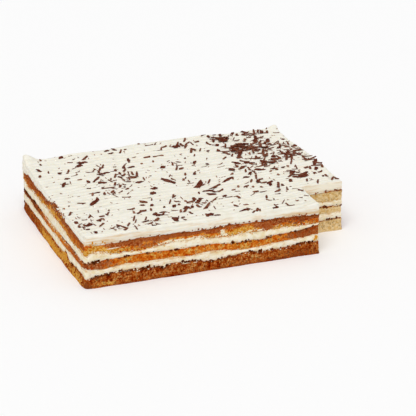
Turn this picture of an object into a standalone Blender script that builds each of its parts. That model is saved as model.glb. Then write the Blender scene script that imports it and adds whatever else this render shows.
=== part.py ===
"""Layer cake: a rectangular slab of three soaked sponges and three creams, with one portion cut out.

The portion is missing from the front right corner, so every layer is an L in plan. Each layer is one
closed solid. Its lower and upper faces follow the same uneven levels as its neighbours', less a small
gap, so the layers nest without touching. The top cream is thicker, crowned and rounded at its rim.

Metres, +Z up. The origin is the middle of the base. +X runs along the long side, and -Y is the front.
"""
import math
from collections import namedtuple

import bmesh
import bpy

# ------------------------------------------------------------------ driving dimensions, in metres
COLLECTION_NAME = "tiramisu_layer_cake"
LENGTH = 0.382            # along X, over the bow of the left wall
WIDTH = 0.291             # along Y
PORTION_LENGTH = 0.062    # the portion cut out, along X
PORTION_WIDTH = 0.0626    # the portion cut out, along Y
LAYER_GAP = 0.0003        # between two layers' faces
LEFT_BOW = 0.002          # how far the left wall swells past its corners
RIM = 0.005               # width of the strip of faces along every wall
RIM_DROP = 0.0038         # how far the top cream's rim is rounded down
RIM_SHARE = 0.45          # most of the top cream's thickness that its rim may lose
THINNEST_LAYER = 0.0018   # no layer gets thinner than this

LEFT = -LENGTH / 2
RIGHT = LENGTH / 2
FRONT = -WIDTH / 2
BACK = WIDTH / 2
NOTCH_X = RIGHT - PORTION_LENGTH
NOTCH_Y = FRONT + PORTION_WIDTH

# ------------------------------------------------------------------ layers, from the base up
# top: nominal height of the upper face. left_tilt: change of that height along the left wall.
# inset: how far the wall stands back. belly: how far it swells at half height.
Layer = namedtuple("Layer", "name top left_tilt inset belly colour roughness")
LAYERS = (
    Layer("bottom_sponge", 0.0174, -0.0029, 0.0000, 0.0000, (0.310, 0.110, 0.030), 0.85),
    Layer("lower_cream", 0.0250, -0.0010, 0.0012, 0.0008, (0.870, 0.810, 0.690), 0.50),
    Layer("middle_sponge", 0.0353, -0.0020, 0.0006, 0.0005, (0.520, 0.175, 0.040), 0.60),
    Layer("upper_cream", 0.0433, 0.0020, 0.0012, 0.0008, (0.870, 0.810, 0.690), 0.50),
    Layer("top_sponge", 0.0580, 0.0020, 0.0006, 0.0003, (0.480, 0.200, 0.050), 0.80),
    Layer("top_cream", 0.0695, 0.0000, 0.0004, 0.0004, (0.880, 0.840, 0.740), 0.50),
)
LEFT_TILT_REACH = 0.045   # how far in from the left wall a tilt fades out

# ------------------------------------------------------------------ uneven places of the levels
# Each swell lifts one layer's upper face by rise, fading over its reach along X and Y.
Swell = namedtuple("Swell", "layer x y reach_x reach_y rise")
SWELLS = (
    Swell("bottom_sponge", LEFT + 0.040, FRONT, 0.020, 0.016, 0.0014),
    Swell("bottom_sponge", -0.056, FRONT, 0.016, 0.020, -0.0012),
    Swell("bottom_sponge", -0.020, FRONT, 0.016, 0.022, -0.0048),           # hollow filled by a lens of cream
    Swell("bottom_sponge", 0.009, FRONT, 0.014, 0.020, -0.0026),
    Swell("bottom_sponge", 0.075, FRONT, 0.014, 0.022, -0.0022),
    Swell("bottom_sponge", LEFT, BACK, 0.040, 0.060, -0.0020),
    Swell("lower_cream", LEFT, FRONT, 0.012, 0.016, 0.0020),                # creams turn up at this corner
    Swell("lower_cream", LEFT, 0.038, 0.030, 0.014, -0.0016),
    Swell("lower_cream", -0.128, FRONT, 0.028, 0.030, 0.0020),
    Swell("lower_cream", -0.026, FRONT, 0.015, 0.022, 0.0016),
    Swell("lower_cream", 0.022, FRONT, 0.030, 0.030, -0.0028),
    Swell("lower_cream", 0.058, FRONT, 0.016, 0.020, -0.0018),
    Swell("lower_cream", NOTCH_X, FRONT, 0.022, 0.030, 0.0022),
    Swell("middle_sponge", -0.125, FRONT, 0.035, 0.030, 0.0010),
    Swell("middle_sponge", LEFT + 0.020, FRONT, 0.020, 0.020, 0.0013),
    Swell("middle_sponge", LEFT, -0.084, 0.020, 0.012, 0.0016),
    Swell("middle_sponge", 0.025, FRONT, 0.042, 0.030, -0.0030),
    Swell("middle_sponge", 0.046, FRONT, 0.011, 0.014, -0.0024),
    Swell("middle_sponge", NOTCH_X, FRONT, 0.020, 0.030, 0.0047),
    Swell("middle_sponge", LEFT, BACK, 0.030, 0.050, -0.0030),
    Swell("upper_cream", LEFT + 0.018, FRONT, 0.011, 0.012, 0.0030),
    Swell("upper_cream", -0.143, FRONT, 0.028, 0.020, -0.0018),
    Swell("upper_cream", -0.118, FRONT, 0.020, 0.020, -0.0015),
    Swell("upper_cream", -0.072, FRONT, 0.020, 0.030, 0.0026),
    Swell("upper_cream", -0.036, FRONT, 0.012, 0.020, 0.0022),
    Swell("upper_cream", 0.015, FRONT, 0.018, 0.020, -0.0014),
    Swell("upper_cream", NOTCH_X, FRONT, 0.032, 0.030, -0.0022),
    Swell("upper_cream", LEFT, 0.0, 0.030, 0.050, 0.0030),
    Swell("upper_cream", LEFT, -0.035, 0.030, 0.016, 0.0024),
    Swell("upper_cream", LEFT, 0.118, 0.030, 0.022, -0.0030),
    Swell("top_sponge", LEFT + 0.020, FRONT, 0.016, 0.014, -0.0017),
    Swell("top_sponge", LEFT, FRONT, 0.009, 0.010, -0.0020),
    Swell("top_sponge", -0.105, FRONT, 0.022, 0.024, 0.0020),
    Swell("top_sponge", -0.040, FRONT, 0.012, 0.020, 0.0010),
    Swell("top_sponge", 0.010, FRONT, 0.030, 0.030, 0.0008),
    Swell("top_sponge", 0.036, FRONT, 0.012, 0.020, 0.0008),
    Swell("top_sponge", LEFT, -0.034, 0.030, 0.040, 0.0050),                # sponge nearly bare of cream
    Swell("top_sponge", LEFT, BACK, 0.020, 0.030, -0.0030),
    Swell("top_sponge", NOTCH_X, FRONT, 0.020, 0.025, -0.0030),
    Swell("top_cream", LEFT + 0.005, BACK - 0.004, 0.012, 0.011, 0.0090),   # peaks at the back corners
    Swell("top_cream", RIGHT - 0.004, BACK - 0.004, 0.010, 0.009, 0.0062),
    Swell("top_cream", 0.040, BACK, 0.130, 0.060, 0.0042),                  # crown along the back
    Swell("top_cream", RIGHT, 0.010, 0.050, 0.050, 0.0040),                 # crown along the right wall
)
RIPPLE = 0.0005           # height of the slow waves that every level has
RIPPLE_LENGTH_X = 0.087
RIPPLE_LENGTH_Y = 0.071
WALL_WAVE = 0.0007        # depth of the slow waves along the walls, always inwards
WALL_WAVE_LENGTH = 0.064
PHASE_STEP = 1.9          # turns one layer's waves against the next's, in radians

# ------------------------------------------------------------------ grid cells between the breaks
X_BREAKS = (LEFT, LEFT + RIM, NOTCH_X - RIM, NOTCH_X, RIGHT - RIM, RIGHT)
X_CELLS = (1, 16, 1, 3, 1)
Y_BREAKS = (FRONT, FRONT + RIM, NOTCH_Y, NOTCH_Y + RIM, BACK - RIM, BACK)
Y_CELLS = (1, 3, 1, 9, 1)
SAME_PLACE = 1e-6


def grid_lines(breaks, cells):
    """Positions of the grid lines: each stretch between two breaks is cut into even cells."""
    lines = [breaks[0]]
    for start, end, count in zip(breaks, breaks[1:], cells):
        lines += [start + (end - start) * step / count for step in range(1, count + 1)]
    return lines


def fade(distance, reach):
    """1 at no distance, falling smoothly to 0."""
    return math.exp(-(distance / reach) ** 2)


def level(index, x, y):
    """Height of the upper face of one layer, or of the base for index -1."""
    if index < 0:
        return 0.0
    layer = LAYERS[index]
    phase = PHASE_STEP * index
    height = layer.top + layer.left_tilt * fade(x - LEFT, LEFT_TILT_REACH)
    height += RIPPLE * math.sin(math.tau * x / RIPPLE_LENGTH_X + phase)
    height += RIPPLE * math.sin(math.tau * y / RIPPLE_LENGTH_Y - phase)
    for swell in SWELLS:
        if swell.layer == layer.name:
            height += swell.rise * fade(x - swell.x, swell.reach_x) * fade(y - swell.y, swell.reach_y)
    return max(height, level(index - 1, x, y) + THINNEST_LAYER)


def wall_direction(x, y):
    """Outward direction of the walls that meet at a point of the outline, or (0, 0) inside."""
    near_notch = x > NOTCH_X - SAME_PLACE and y < NOTCH_Y + SAME_PLACE
    out_x = (x > RIGHT - SAME_PLACE) - (x < LEFT + SAME_PLACE)
    out_y = (y > BACK - SAME_PLACE) - (y < FRONT + SAME_PLACE)
    if near_notch and abs(x - NOTCH_X) < SAME_PLACE:
        out_x = 1
    if near_notch and abs(y - NOTCH_Y) < SAME_PLACE:
        out_y = -1
    return out_x, out_y


def wall_setback(index, x, y):
    """How far the wall stands inside the full outline: the layer's inset and slow waves."""
    wave = math.sin(math.tau * (x + y) / WALL_WAVE_LENGTH + PHASE_STEP * index)
    return LAYERS[index].inset + WALL_WAVE * max(wave, 0.0)


def left_bow(x, y):
    """The left wall is bowed: its corners stand LEFT_BOW inside its middle."""
    across = max(0.0, 1 - (x - LEFT) / (NOTCH_X - LEFT))
    return LEFT_BOW * across * (2 * y / WIDTH) ** 2


def plan_of_layer():
    """A flat L of triangles, with finer cells along the walls."""
    xs = grid_lines(X_BREAKS, X_CELLS)
    ys = grid_lines(Y_BREAKS, Y_CELLS)
    columns = len(xs) - 1
    rows = len(ys) - 1
    plan = bmesh.new()
    bmesh.ops.create_grid(plan, x_segments=columns, y_segments=rows, size=1.0)
    for vert in plan.verts:
        vert.co.x = xs[round((vert.co.x + 1) / 2 * columns)]
        vert.co.y = ys[round((vert.co.y + 1) / 2 * rows)]
    cut_out = []
    for face in plan.faces:
        middle = face.calc_center_median()
        if middle.x > NOTCH_X and middle.y < NOTCH_Y:
            cut_out.append(face)
    bmesh.ops.delete(plan, geom=cut_out, context="FACES")
    bmesh.ops.triangulate(plan, faces=plan.faces[:], quad_method="FIXED")
    return plan


def raise_region(plan, faces):
    """Extrude a region of faces upwards by one, and return its new faces."""
    raised = bmesh.ops.extrude_face_region(plan, geom=faces)["geom"]
    bmesh.ops.translate(plan, verts=[v for v in raised if isinstance(v, bmesh.types.BMVert)], vec=(0, 0, 1))
    return [face for face in raised if isinstance(face, bmesh.types.BMFace)]


def shape_layer(plan, index):
    """Bend the flat-sided block of three rows into the layer: its levels, its rim and its walls."""
    layer = LAYERS[index]
    is_top = index == len(LAYERS) - 1
    for vert in plan.verts:
        x, y, row = vert.co
        out_x, out_y = wall_direction(x, y)
        on_wall = out_x != 0 or out_y != 0
        low = level(index - 1, x, y)
        high = level(index, x, y)
        if index > 0:
            low += LAYER_GAP / 2
        if not is_top:
            high -= LAYER_GAP / 2
        elif on_wall:
            high -= min(RIM_DROP, RIM_SHARE * (high - low))
        outwards = -wall_setback(index, x, y)
        if round(row) == 1:
            outwards += layer.belly
        vert.co.x = x + left_bow(x, y) + out_x * outwards
        vert.co.y = y + out_y * outwards
        vert.co.z = low + (high - low) * row / 2


def make_material(layer):
    material = bpy.data.materials.new(layer.name)
    material.use_nodes = True
    shader = material.node_tree.nodes["Principled BSDF"]
    shader.inputs["Base Color"].default_value = (*layer.colour, 1.0)
    shader.inputs["Roughness"].default_value = layer.roughness
    shader.inputs["Metallic"].default_value = 0.0
    return material


def make_layer(index, collection):
    """Build one layer as a closed solid of its own."""
    layer = LAYERS[index]
    plan = plan_of_layer()
    middle_faces = raise_region(plan, plan.faces[:])
    raise_region(plan, middle_faces)
    bmesh.ops.delete(plan, geom=middle_faces, context="FACES")
    shape_layer(plan, index)
    bmesh.ops.recalc_face_normals(plan, faces=plan.faces[:])
    mesh = bpy.data.meshes.new(layer.name)
    plan.to_mesh(mesh)
    plan.free()
    mesh.materials.append(make_material(layer))
    collection.objects.link(bpy.data.objects.new(layer.name, mesh))


def main():
    for old in list(bpy.data.objects):
        bpy.data.objects.remove(old, do_unlink=True)
    collection = bpy.data.collections.new(COLLECTION_NAME)
    bpy.context.scene.collection.children.link(collection)
    for index in range(len(LAYERS)):
        make_layer(index, collection)


main()
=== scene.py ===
"""Layer cake: the finish of every layer, its smears and crumbs, and the chocolate on top.

The slab has three soaked sponges and three creams, and a nearly square notch is cut into its front
right corner. Every layer's plain solid is replaced by a finely sculpted piece in the same place.
"""
import math
import random
from collections import namedtuple

import bpy
import numpy as np
from mathutils import Matrix, Vector, noise
from mathutils.bvhtree import BVHTree


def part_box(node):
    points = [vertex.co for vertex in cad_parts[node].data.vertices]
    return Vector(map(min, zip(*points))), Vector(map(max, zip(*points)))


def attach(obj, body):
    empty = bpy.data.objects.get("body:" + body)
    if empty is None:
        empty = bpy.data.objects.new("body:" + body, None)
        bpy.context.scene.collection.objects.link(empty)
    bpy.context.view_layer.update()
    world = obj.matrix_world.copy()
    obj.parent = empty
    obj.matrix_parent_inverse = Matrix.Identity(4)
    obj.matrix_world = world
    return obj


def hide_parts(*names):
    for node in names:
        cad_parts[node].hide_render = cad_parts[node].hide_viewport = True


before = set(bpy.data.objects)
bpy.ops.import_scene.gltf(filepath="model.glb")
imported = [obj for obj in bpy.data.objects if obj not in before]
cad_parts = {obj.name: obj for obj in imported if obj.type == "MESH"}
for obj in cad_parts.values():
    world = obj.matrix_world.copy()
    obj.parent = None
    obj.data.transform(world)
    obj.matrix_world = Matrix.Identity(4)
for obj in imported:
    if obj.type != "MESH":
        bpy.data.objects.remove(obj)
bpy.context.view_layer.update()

bl_info = {
    "name": "Tiramisu Layer Cake",
    "version": (1, 0, 0),
    "blender": (4, 5, 0),
    "location": "3D View > Sidebar > Layer Cake",
    "description": "Sculpts and colours a layer cake slab with its crumbs, smears and chocolate",
    "category": "Object",
}

MM = 0.001

# ------------------------------------------------------------------ the slab's plan, from the frame
SLAB_LOW, SLAB_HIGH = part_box("bottom_sponge")
LEFT, FRONT = SLAB_LOW[0], SLAB_LOW[1]
RIGHT, BACK = SLAB_HIGH[0], SLAB_HIGH[1]
LENGTH = RIGHT - LEFT
WIDTH = BACK - FRONT
NOTCH_LENGTH = 62 * MM
NOTCH_WIDTH = 62.6 * MM
NOTCH_X = RIGHT - NOTCH_LENGTH
NOTCH_Y = FRONT + NOTCH_WIDTH
LEFT_BOW = 2 * MM      # the left wall's corners stand this far inside its middle
SAME_PLACE = 1e-5

Corner = namedtuple("Corner", "x y side_x side_y radius")
CORNERS = (
    Corner(LEFT, FRONT, -1, -1, 4.5 * MM),
    Corner(LEFT, BACK, -1, 1, 4.0 * MM),
    Corner(RIGHT, BACK, 1, 1, 4.0 * MM),
    Corner(NOTCH_X, FRONT, 1, -1, 1.6 * MM),
    Corner(RIGHT, NOTCH_Y, 1, -1, 1.6 * MM),
)

# Walls as start, end and outward direction.
Wall = namedtuple("Wall", "name start end out")
WALLS = (
    Wall("front", (LEFT, FRONT), (NOTCH_X, FRONT), (0, -1)),
    Wall("left", (LEFT, BACK), (LEFT, FRONT), (-1, 0)),
    Wall("back", (LEFT, BACK), (RIGHT, BACK), (0, 1)),
    Wall("right", (RIGHT, NOTCH_Y), (RIGHT, BACK), (1, 0)),
    Wall("cut_left", (NOTCH_X, FRONT), (NOTCH_X, NOTCH_Y), (1, 0)),
    Wall("cut_back", (NOTCH_X, NOTCH_Y), (RIGHT, NOTCH_Y), (0, -1)),
)
WALL = {wall.name: wall for wall in WALLS}

# ------------------------------------------------------------------ levels of the layers
# piece: the sculpted piece that stands in for the layer. top: nominal height of the upper face.
# left_tilt: its change along the left wall. setback: how far the layer's walls stand inside the outline.
Layer = namedtuple("Layer", "name piece top left_tilt setback")
LAYERS = (
    Layer("bottom_sponge", "bottom_sponge_crumb", 17.4 * MM, -2.9 * MM, 0.3 * MM),
    Layer("lower_cream", "lower_cream_spread", 25.0 * MM, -1.0 * MM, 0.7 * MM),
    Layer("middle_sponge", "middle_sponge_crumb", 35.3 * MM, -2.0 * MM, 0.5 * MM),
    Layer("upper_cream", "upper_cream_spread", 43.3 * MM, 2.0 * MM, 0.7 * MM),
    Layer("top_sponge", "top_sponge_crumb", 58.0 * MM, 2.0 * MM, 0.5 * MM),
    Layer("top_cream", "top_cream_combed", 69.5 * MM, 0.0, 0.4 * MM),
)
LAYER_INDEX = {layer.name: index for index, layer in enumerate(LAYERS)}
LEFT_TILT_REACH = 45 * MM
THINNEST_LAYER = 1.8 * MM
RIPPLE = 0.5 * MM
RIPPLE_LENGTH_X = 87 * MM
RIPPLE_LENGTH_Y = 71 * MM
PHASE_STEP = 1.9

# Swells of the layers. Each lifts a layer's upper face by rise, fading over its reach along X and Y.
Swell = namedtuple("Swell", "x y reach_x reach_y rise")
SWELLS = {
    layer: tuple(Swell(x, y, reach_x * MM, reach_y * MM, rise * MM) for x, y, reach_x, reach_y, rise in rows)
    for layer, rows in (
        ("bottom_sponge", (
            (LEFT + 0.040, FRONT, 20, 16, 1.4), (LEFT, FRONT, 8, 14, -2.4),
            (-0.0865, FRONT, 5, 8, -3.6),  # drip of cream
            (-0.056, FRONT, 16, 20, -1.2),
            (-0.020, FRONT, 16, 22, -4.8),  # hollow filled by a lens of cream
            (0.009, FRONT, 14, 20, -2.6), (0.047, FRONT, 8, 14, -2.2), (0.075, FRONT, 14, 22, -2.2),
            (LEFT, BACK, 40, 60, -2.0), (LEFT, -0.066, 20, 8, 4.5), (LEFT, -0.081, 20, 6, -3.5),
        )),
        ("lower_cream", (
            (LEFT, FRONT, 12, 16, 2.0),  # creams turn up at the left corner
            (-0.166, FRONT, 8, 14, -0.8), (LEFT, 0.038, 30, 14, -1.6), (-0.128, FRONT, 28, 30, 2.0),
            (-0.026, FRONT, 15, 22, 1.6), (0.022, FRONT, 30, 30, -2.8), (0.058, FRONT, 16, 20, -1.8),
            (NOTCH_X, FRONT, 22, 30, 2.2),
        )),
        ("middle_sponge", (
            (-0.125, FRONT, 35, 30, 1.0), (LEFT + 0.020, FRONT, 20, 20, 1.3), (LEFT, -0.084, 20, 12, 1.6),
            (0.025, FRONT, 42, 30, -3.0), (0.046, FRONT, 11, 14, -2.4), (NOTCH_X, FRONT, 20, 30, 4.7),
            (LEFT, BACK, 30, 50, -3.0),
        )),
        ("upper_cream", (
            (LEFT, FRONT, 6, 24, -1.8), (LEFT + 0.018, FRONT, 11, 12, 3.0), (-0.143, FRONT, 28, 20, -1.8),
            (-0.118, FRONT, 20, 20, -1.5), (-0.072, FRONT, 20, 30, 2.6), (-0.036, FRONT, 12, 20, 2.2),
            (0.015, FRONT, 18, 20, -1.4), (NOTCH_X, FRONT, 32, 30, -2.2), (LEFT, 0.0, 30, 50, 3.0),
            (LEFT, -0.035, 30, 16, 2.4), (LEFT, 0.118, 30, 22, -3.0),
        )),
        ("top_sponge", (
            (LEFT + 0.020, FRONT, 16, 14, -1.7), (LEFT, FRONT, 9, 10, -2.0), (-0.105, FRONT, 22, 24, 2.0),
            (-0.040, FRONT, 12, 20, 1.0), (0.010, FRONT, 30, 30, 0.8), (0.036, FRONT, 12, 20, 0.8),
            (LEFT, -0.034, 30, 40, 5.0),  # sponge nearly bare of cream
            (LEFT, BACK, 20, 30, -3.0), (NOTCH_X, FRONT, 20, 25, -3.0),
        )),
        ("top_cream", (
            (LEFT + 0.005, BACK - 0.004, 12, 11, 9.0),  # peaks at the back corners
            (RIGHT - 0.004, BACK - 0.004, 10, 9, 6.2),
            (0.040, BACK, 130, 60, 4.2),  # crown along the back
            (RIGHT, 0.010, 50, 50, 4.0),  # crown along the right wall
        )),
    )
}

# ------------------------------------------------------------------ sculpting
SPONGE_CELLS = (76, 58)     # grid cells of an inner layer in plan
CREAM_CELLS = (64, 60)  # grid cells of the top cream in plan
WALL_CUTS = 6           # cuts that make an inner layer's wall cells fine
TOP_CUTS = 3
CREAM_LAP = 1.5 * MM    # how far a cream reaches behind the sponges at a wall
WALL_WAVE = 0.7 * MM
WALL_WAVE_LENGTH = 64 * MM
NOISE_SHIFT = 3.7       # sets one layer's noise apart from the next's


def tint(red, green, blue):
    """Linear colour of a display colour given in steps of 255."""
    def linear(step):
        value = step / 255
        return value / 12.92 if value <= 0.04045 else ((value + 0.055) / 1.055) ** 2.4
    return linear(red), linear(green), linear(blue)


def colour(name, words, shade):
    return bpy.props.FloatVectorProperty(
        name=name, description=words, default=shade, size=3, min=0.0, max=1.0, subtype="COLOR"
    )


def length(name, words, size):
    return bpy.props.FloatProperty(
        name=name, description=words, default=size, min=0.0, unit="LENGTH", precision=5
    )


def count(name, words, number):
    return bpy.props.IntProperty(name=name, description=words, default=number, min=0)


class CakeSizes(bpy.types.PropertyGroup):
    """Sizes of the relief and of what is scattered."""
    rim_radius: length("Rim radius", "Rounding of the top cream along the outer walls", 4.2 * MM)
    cut_radius: length("Cut radius", "Rounding of the top cream along the cut walls", 1.2 * MM)
    comb_pitch: length("Comb pitch", "Distance between two grooves of the combed cream", 9.4 * MM)
    comb_depth: length("Comb depth", "Depth of the combed grooves", 1.5 * MM)
    crumb_relief: length("Crumb relief", "Depth of the crumb on the sponges' walls", 0.9 * MM)
    ragged_edge: length("Ragged edge", "Unevenness of the line between a sponge and a cream", 0.9 * MM)
    stick_count: count("Sticks", "Number of scattered chocolate sticks", 210)
    flake_count: count("Flakes", "Number of scattered flat chocolate flakes", 24)
    bit_count: count("Bits", "Number of small chocolate bits", 540)


class CakeColours(bpy.types.PropertyGroup):
    """Colours of the cake, as display colours of its surfaces in even light."""
    cream: colour("Cream", "Whipped cream on top", tint(242, 239, 227))
    ivory: colour("Ivory", "Cream between the sponges", tint(247, 240, 220))
    # Also the colour of the painted shade on the top cream's walls.
    stain: colour("Stain", "Cream stained by coffee", tint(214, 178, 130))
    soaked: colour("Soaked", "Sponge soaked brown", tint(168, 84, 24))
    toasted: colour("Toasted", "Reddish brown crust and wet sponge", tint(160, 82, 37))
    amber: colour("Amber", "Wet amber sponge", tint(206, 116, 32))
    gold: colour("Gold", "Golden dry sponge", tint(212, 151, 58))
    fresh: colour("Fresh", "Pale crumb of a fresh cut", tint(225, 198, 147))
    crust: colour("Crust", "Brown crust", tint(130, 67, 30))
    dark: colour("Dark", "Dark crust", tint(78, 33, 7))
    chocolate: colour("Chocolate", "Flat flakes of dark chocolate", tint(94, 42, 26))
    shavings: colour("Shavings", "Thin shavings of chocolate", tint(112, 62, 42))


# ------------------------------------------------------------------ helpers for modelling
def deselect_all():
    if bpy.context.object and bpy.context.object.mode != "OBJECT":
        bpy.ops.object.mode_set(mode="OBJECT")
    bpy.ops.object.select_all(action="DESELECT")


def edit_faces(piece, chosen, *steps):
    """Select the chosen faces of the active piece and run the steps on them in edit mode."""
    mesh = piece.data
    bpy.context.tool_settings.mesh_select_mode = (False, False, True)
    mesh.vertices.foreach_set("select", np.zeros(len(mesh.vertices), bool))
    mesh.edges.foreach_set("select", np.zeros(len(mesh.edges), bool))
    mesh.polygons.foreach_set("select", chosen)
    bpy.ops.object.mode_set(mode="EDIT")
    for step in steps:
        step()
    bpy.ops.object.mode_set(mode="OBJECT")


def every_face(piece):
    return np.ones(len(piece.data.polygons), bool)


def face_values(piece, field):
    """A per-face vector field, such as its centre or its normal."""
    values = np.empty(len(piece.data.polygons) * 3)
    piece.data.polygons.foreach_get(field, values)
    return values.reshape(-1, 3)


def get_points(piece):
    points = np.empty(len(piece.data.vertices) * 3)
    piece.data.vertices.foreach_get("co", points)
    return points.reshape(-1, 3)


def set_points(piece, points):
    piece.data.vertices.foreach_set("co", points.ravel())
    piece.data.update()


def set_attribute(piece, name, values):
    attribute = piece.data.attributes.new(name, "FLOAT", "POINT")
    attribute.data.foreach_set("value", np.asarray(values, np.float32))


def spread(where, values, elsewhere=0.0):
    """The values where a mask is True, and one fixed value elsewhere."""
    whole = np.full(len(where), elsewhere)
    whole[where] = values
    return whole


def smooth_step(low, high, value):
    share = np.clip((value - low) / (high - low), 0, 1)
    return share * share * (3 - 2 * share)


def fade(distance, reach):
    """1 at no distance, falling smoothly to 0."""
    return np.exp(-(distance / reach) ** 2)


def fractal(points, size, octaves=3, shift=0.0):
    """Fractal noise at each point, with bumps of about the given size. size may be three sizes."""
    scaled = points / np.asarray(size) + shift
    return np.array([noise.fractal(point, 1.0, 2.0, octaves) for point in scaled])


def pores(points, size, shift=0.0):
    """Distance to the nearest of many random centres, in units of size."""
    scaled = points / size + shift
    return np.array([noise.voronoi(point)[0][0] for point in scaled])


# ------------------------------------------------------------------ the slab's form
def level(index, x, y):
    """Height of the upper face of one layer, or of the base for index -1."""
    if index < 0:
        return np.zeros_like(x)
    layer = LAYERS[index]
    phase = PHASE_STEP * index
    height = layer.top + layer.left_tilt * fade(x - LEFT, LEFT_TILT_REACH)
    height += RIPPLE * np.sin(math.tau * x / RIPPLE_LENGTH_X + phase)
    height += RIPPLE * np.sin(math.tau * y / RIPPLE_LENGTH_Y - phase)
    for swell in SWELLS[layer.name]:
        height += swell.rise * fade(x - swell.x, swell.reach_x) * fade(y - swell.y, swell.reach_y)
    return np.maximum(height, level(index - 1, x, y) + THINNEST_LAYER)


def is_cut_wall(x, y):
    """True on the two walls of the notch."""
    return (x > NOTCH_X - SAME_PLACE) & (y < NOTCH_Y + SAME_PLACE)


def outward(x, y):
    """Outward direction at each point of the outline, and 0 inside."""
    near_cut = is_cut_wall(x, y)
    out_x = (x > RIGHT - SAME_PLACE).astype(float) - (x < LEFT + SAME_PLACE)
    out_y = (y > BACK - SAME_PLACE).astype(float) - (y < FRONT + SAME_PLACE)
    out_x[near_cut & (np.abs(x - NOTCH_X) < SAME_PLACE)] = 1
    out_y[near_cut & (np.abs(y - NOTCH_Y) < SAME_PLACE)] = -1
    return np.column_stack((out_x, out_y))


def round_corners(x, y, out):
    """Round the plan's corners, and turn the outward directions with them."""
    on_wall = np.abs(out).sum(axis=1) > 0
    for corner in CORNERS:
        along_x = (x - corner.x) * corner.side_x + corner.radius
        along_y = (y - corner.y) * corner.side_y + corner.radius
        near = on_wall & (along_x > 0) & (along_y > 0)
        size = np.hypot(along_x[near], along_y[near])
        turn_x = along_x[near] / size * corner.side_x
        turn_y = along_y[near] / size * corner.side_y
        x[near] = corner.x - corner.side_x * corner.radius + turn_x * corner.radius
        y[near] = corner.y - corner.side_y * corner.radius + turn_y * corner.radius
        out[near] = np.column_stack((turn_x, turn_y))


def left_bow(x, y):
    """How far the bow of the left wall moves each point along X. It is none at the right."""
    across = np.maximum(0, 1 - (x - LEFT) / (NOTCH_X - LEFT))
    return LEFT_BOW * across * (2 * y / WIDTH) ** 2


def wall_wave(index, x, y):
    """How far in the slow wave of a layer's walls sets each point."""
    return WALL_WAVE * np.maximum(np.sin(math.tau * (x + y) / WALL_WAVE_LENGTH + PHASE_STEP * index), 0)


def add_block(name, cells, rows):
    """A grid plane of the slab's size, without its notch, raised in rows to a height of 1."""
    deselect_all()
    middle = ((LEFT + RIGHT) / 2, (FRONT + BACK) / 2, 0)
    bpy.ops.mesh.primitive_grid_add(x_subdivisions=cells[0], y_subdivisions=cells[1], size=1, location=middle)
    piece = bpy.context.object
    piece.name = piece.data.name = name
    piece.scale = (LENGTH, WIDTH, 1)
    bpy.ops.object.transform_apply(location=True, rotation=True, scale=True)
    points = get_points(piece)
    for axis, cut in ((0, NOTCH_X), (1, NOTCH_Y)):
        nearest = points[np.argmin(np.abs(points[:, axis] - cut)), axis]
        points[np.abs(points[:, axis] - nearest) < SAME_PLACE, axis] = cut
    set_points(piece, points)
    centres = face_values(piece, "center")
    edit_faces(
        piece, (centres[:, 0] > NOTCH_X) & (centres[:, 1] < NOTCH_Y),
        lambda: bpy.ops.mesh.delete(type="FACE"),
        lambda: bpy.ops.mesh.select_all(action="SELECT"),
    )

    def raise_once():
        bpy.ops.mesh.extrude_region_move(TRANSFORM_OT_translate={"value": (0, 0, 1 / rows)})

    edit_faces(piece, every_face(piece), *([raise_once] * rows))
    return piece


def refine(piece, cuts, with_top):
    """Subdivide the walls, and the top face too where asked."""
    normals = face_values(piece, "normal")
    centres = face_values(piece, "center")
    chosen = np.abs(normals[:, 2]) < 0.5
    if with_top:
        chosen |= centres[:, 2] > get_points(piece)[:, 2].max() - SAME_PLACE
    edit_faces(piece, chosen, lambda: bpy.ops.mesh.subdivide(number_cuts=cuts))


# A layer's piece while it is sculpted. rise: 0 at its foot and 1 at its upper face. out: outward direction.
# fresh: True on the cut walls. shift: sets its noise apart.
Form = namedtuple("Form", "piece layer index x y rise out on_wall fresh shift")


def start_form(layer_name, cells, rows, cuts, with_top=False):
    """A block for a layer, with fine walls and rounded corners, and where its points lie."""
    index = LAYER_INDEX[layer_name]
    layer = LAYERS[index]
    piece = add_block(layer.piece, cells, rows)
    refine(piece, cuts, with_top)
    points = get_points(piece)
    x, y, rise = (points[:, axis].copy() for axis in range(3))
    out = outward(x, y)
    fresh = is_cut_wall(x, y)
    round_corners(x, y, out)
    on_wall = np.abs(out).sum(axis=1) > 0
    return Form(piece, layer, index, x, y, rise, out, on_wall, fresh, NOISE_SHIFT * (index + 1))


def levels_of(form):
    """Heights of the layer's lower and upper face at each point."""
    return level(form.index - 1, form.x, form.y), level(form.index, form.x, form.y)


def stand_back(form, extra=0.0):
    """How far the walls stand inside the slab's outline."""
    return form.layer.setback + extra + wall_wave(form.index, form.x, form.y)[form.on_wall]


def push_walls(form, z, push):
    """Push the walls out, bow the left one and place the piece's points."""
    form.x[form.on_wall] += form.out[form.on_wall, 0] * push
    form.y[form.on_wall] += form.out[form.on_wall, 1] * push
    set_points(form.piece, np.column_stack((form.x + left_bow(form.x, form.y), form.y, z)))


def face_outwards(piece):
    """Make the piece the only selected one and turn every face of it outwards."""
    deselect_all()
    piece.select_set(True)
    bpy.context.view_layer.objects.active = piece
    edit_faces(piece, every_face(piece), lambda: bpy.ops.mesh.normals_make_consistent(inside=False))


def finish_piece(piece, material):
    """Let a piece whose faces are turned and shaded ride on the slab, in its material."""
    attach(piece, "root")
    piece.data.materials.clear()
    piece.data.materials.append(material)


def finish_layer(form, material):
    """Shade a layer's piece smooth and put it in the place of the layer's plain solid."""
    face_outwards(form.piece)
    bpy.ops.object.shade_smooth()
    finish_piece(form.piece, material)
    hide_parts(form.layer.name)


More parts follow.
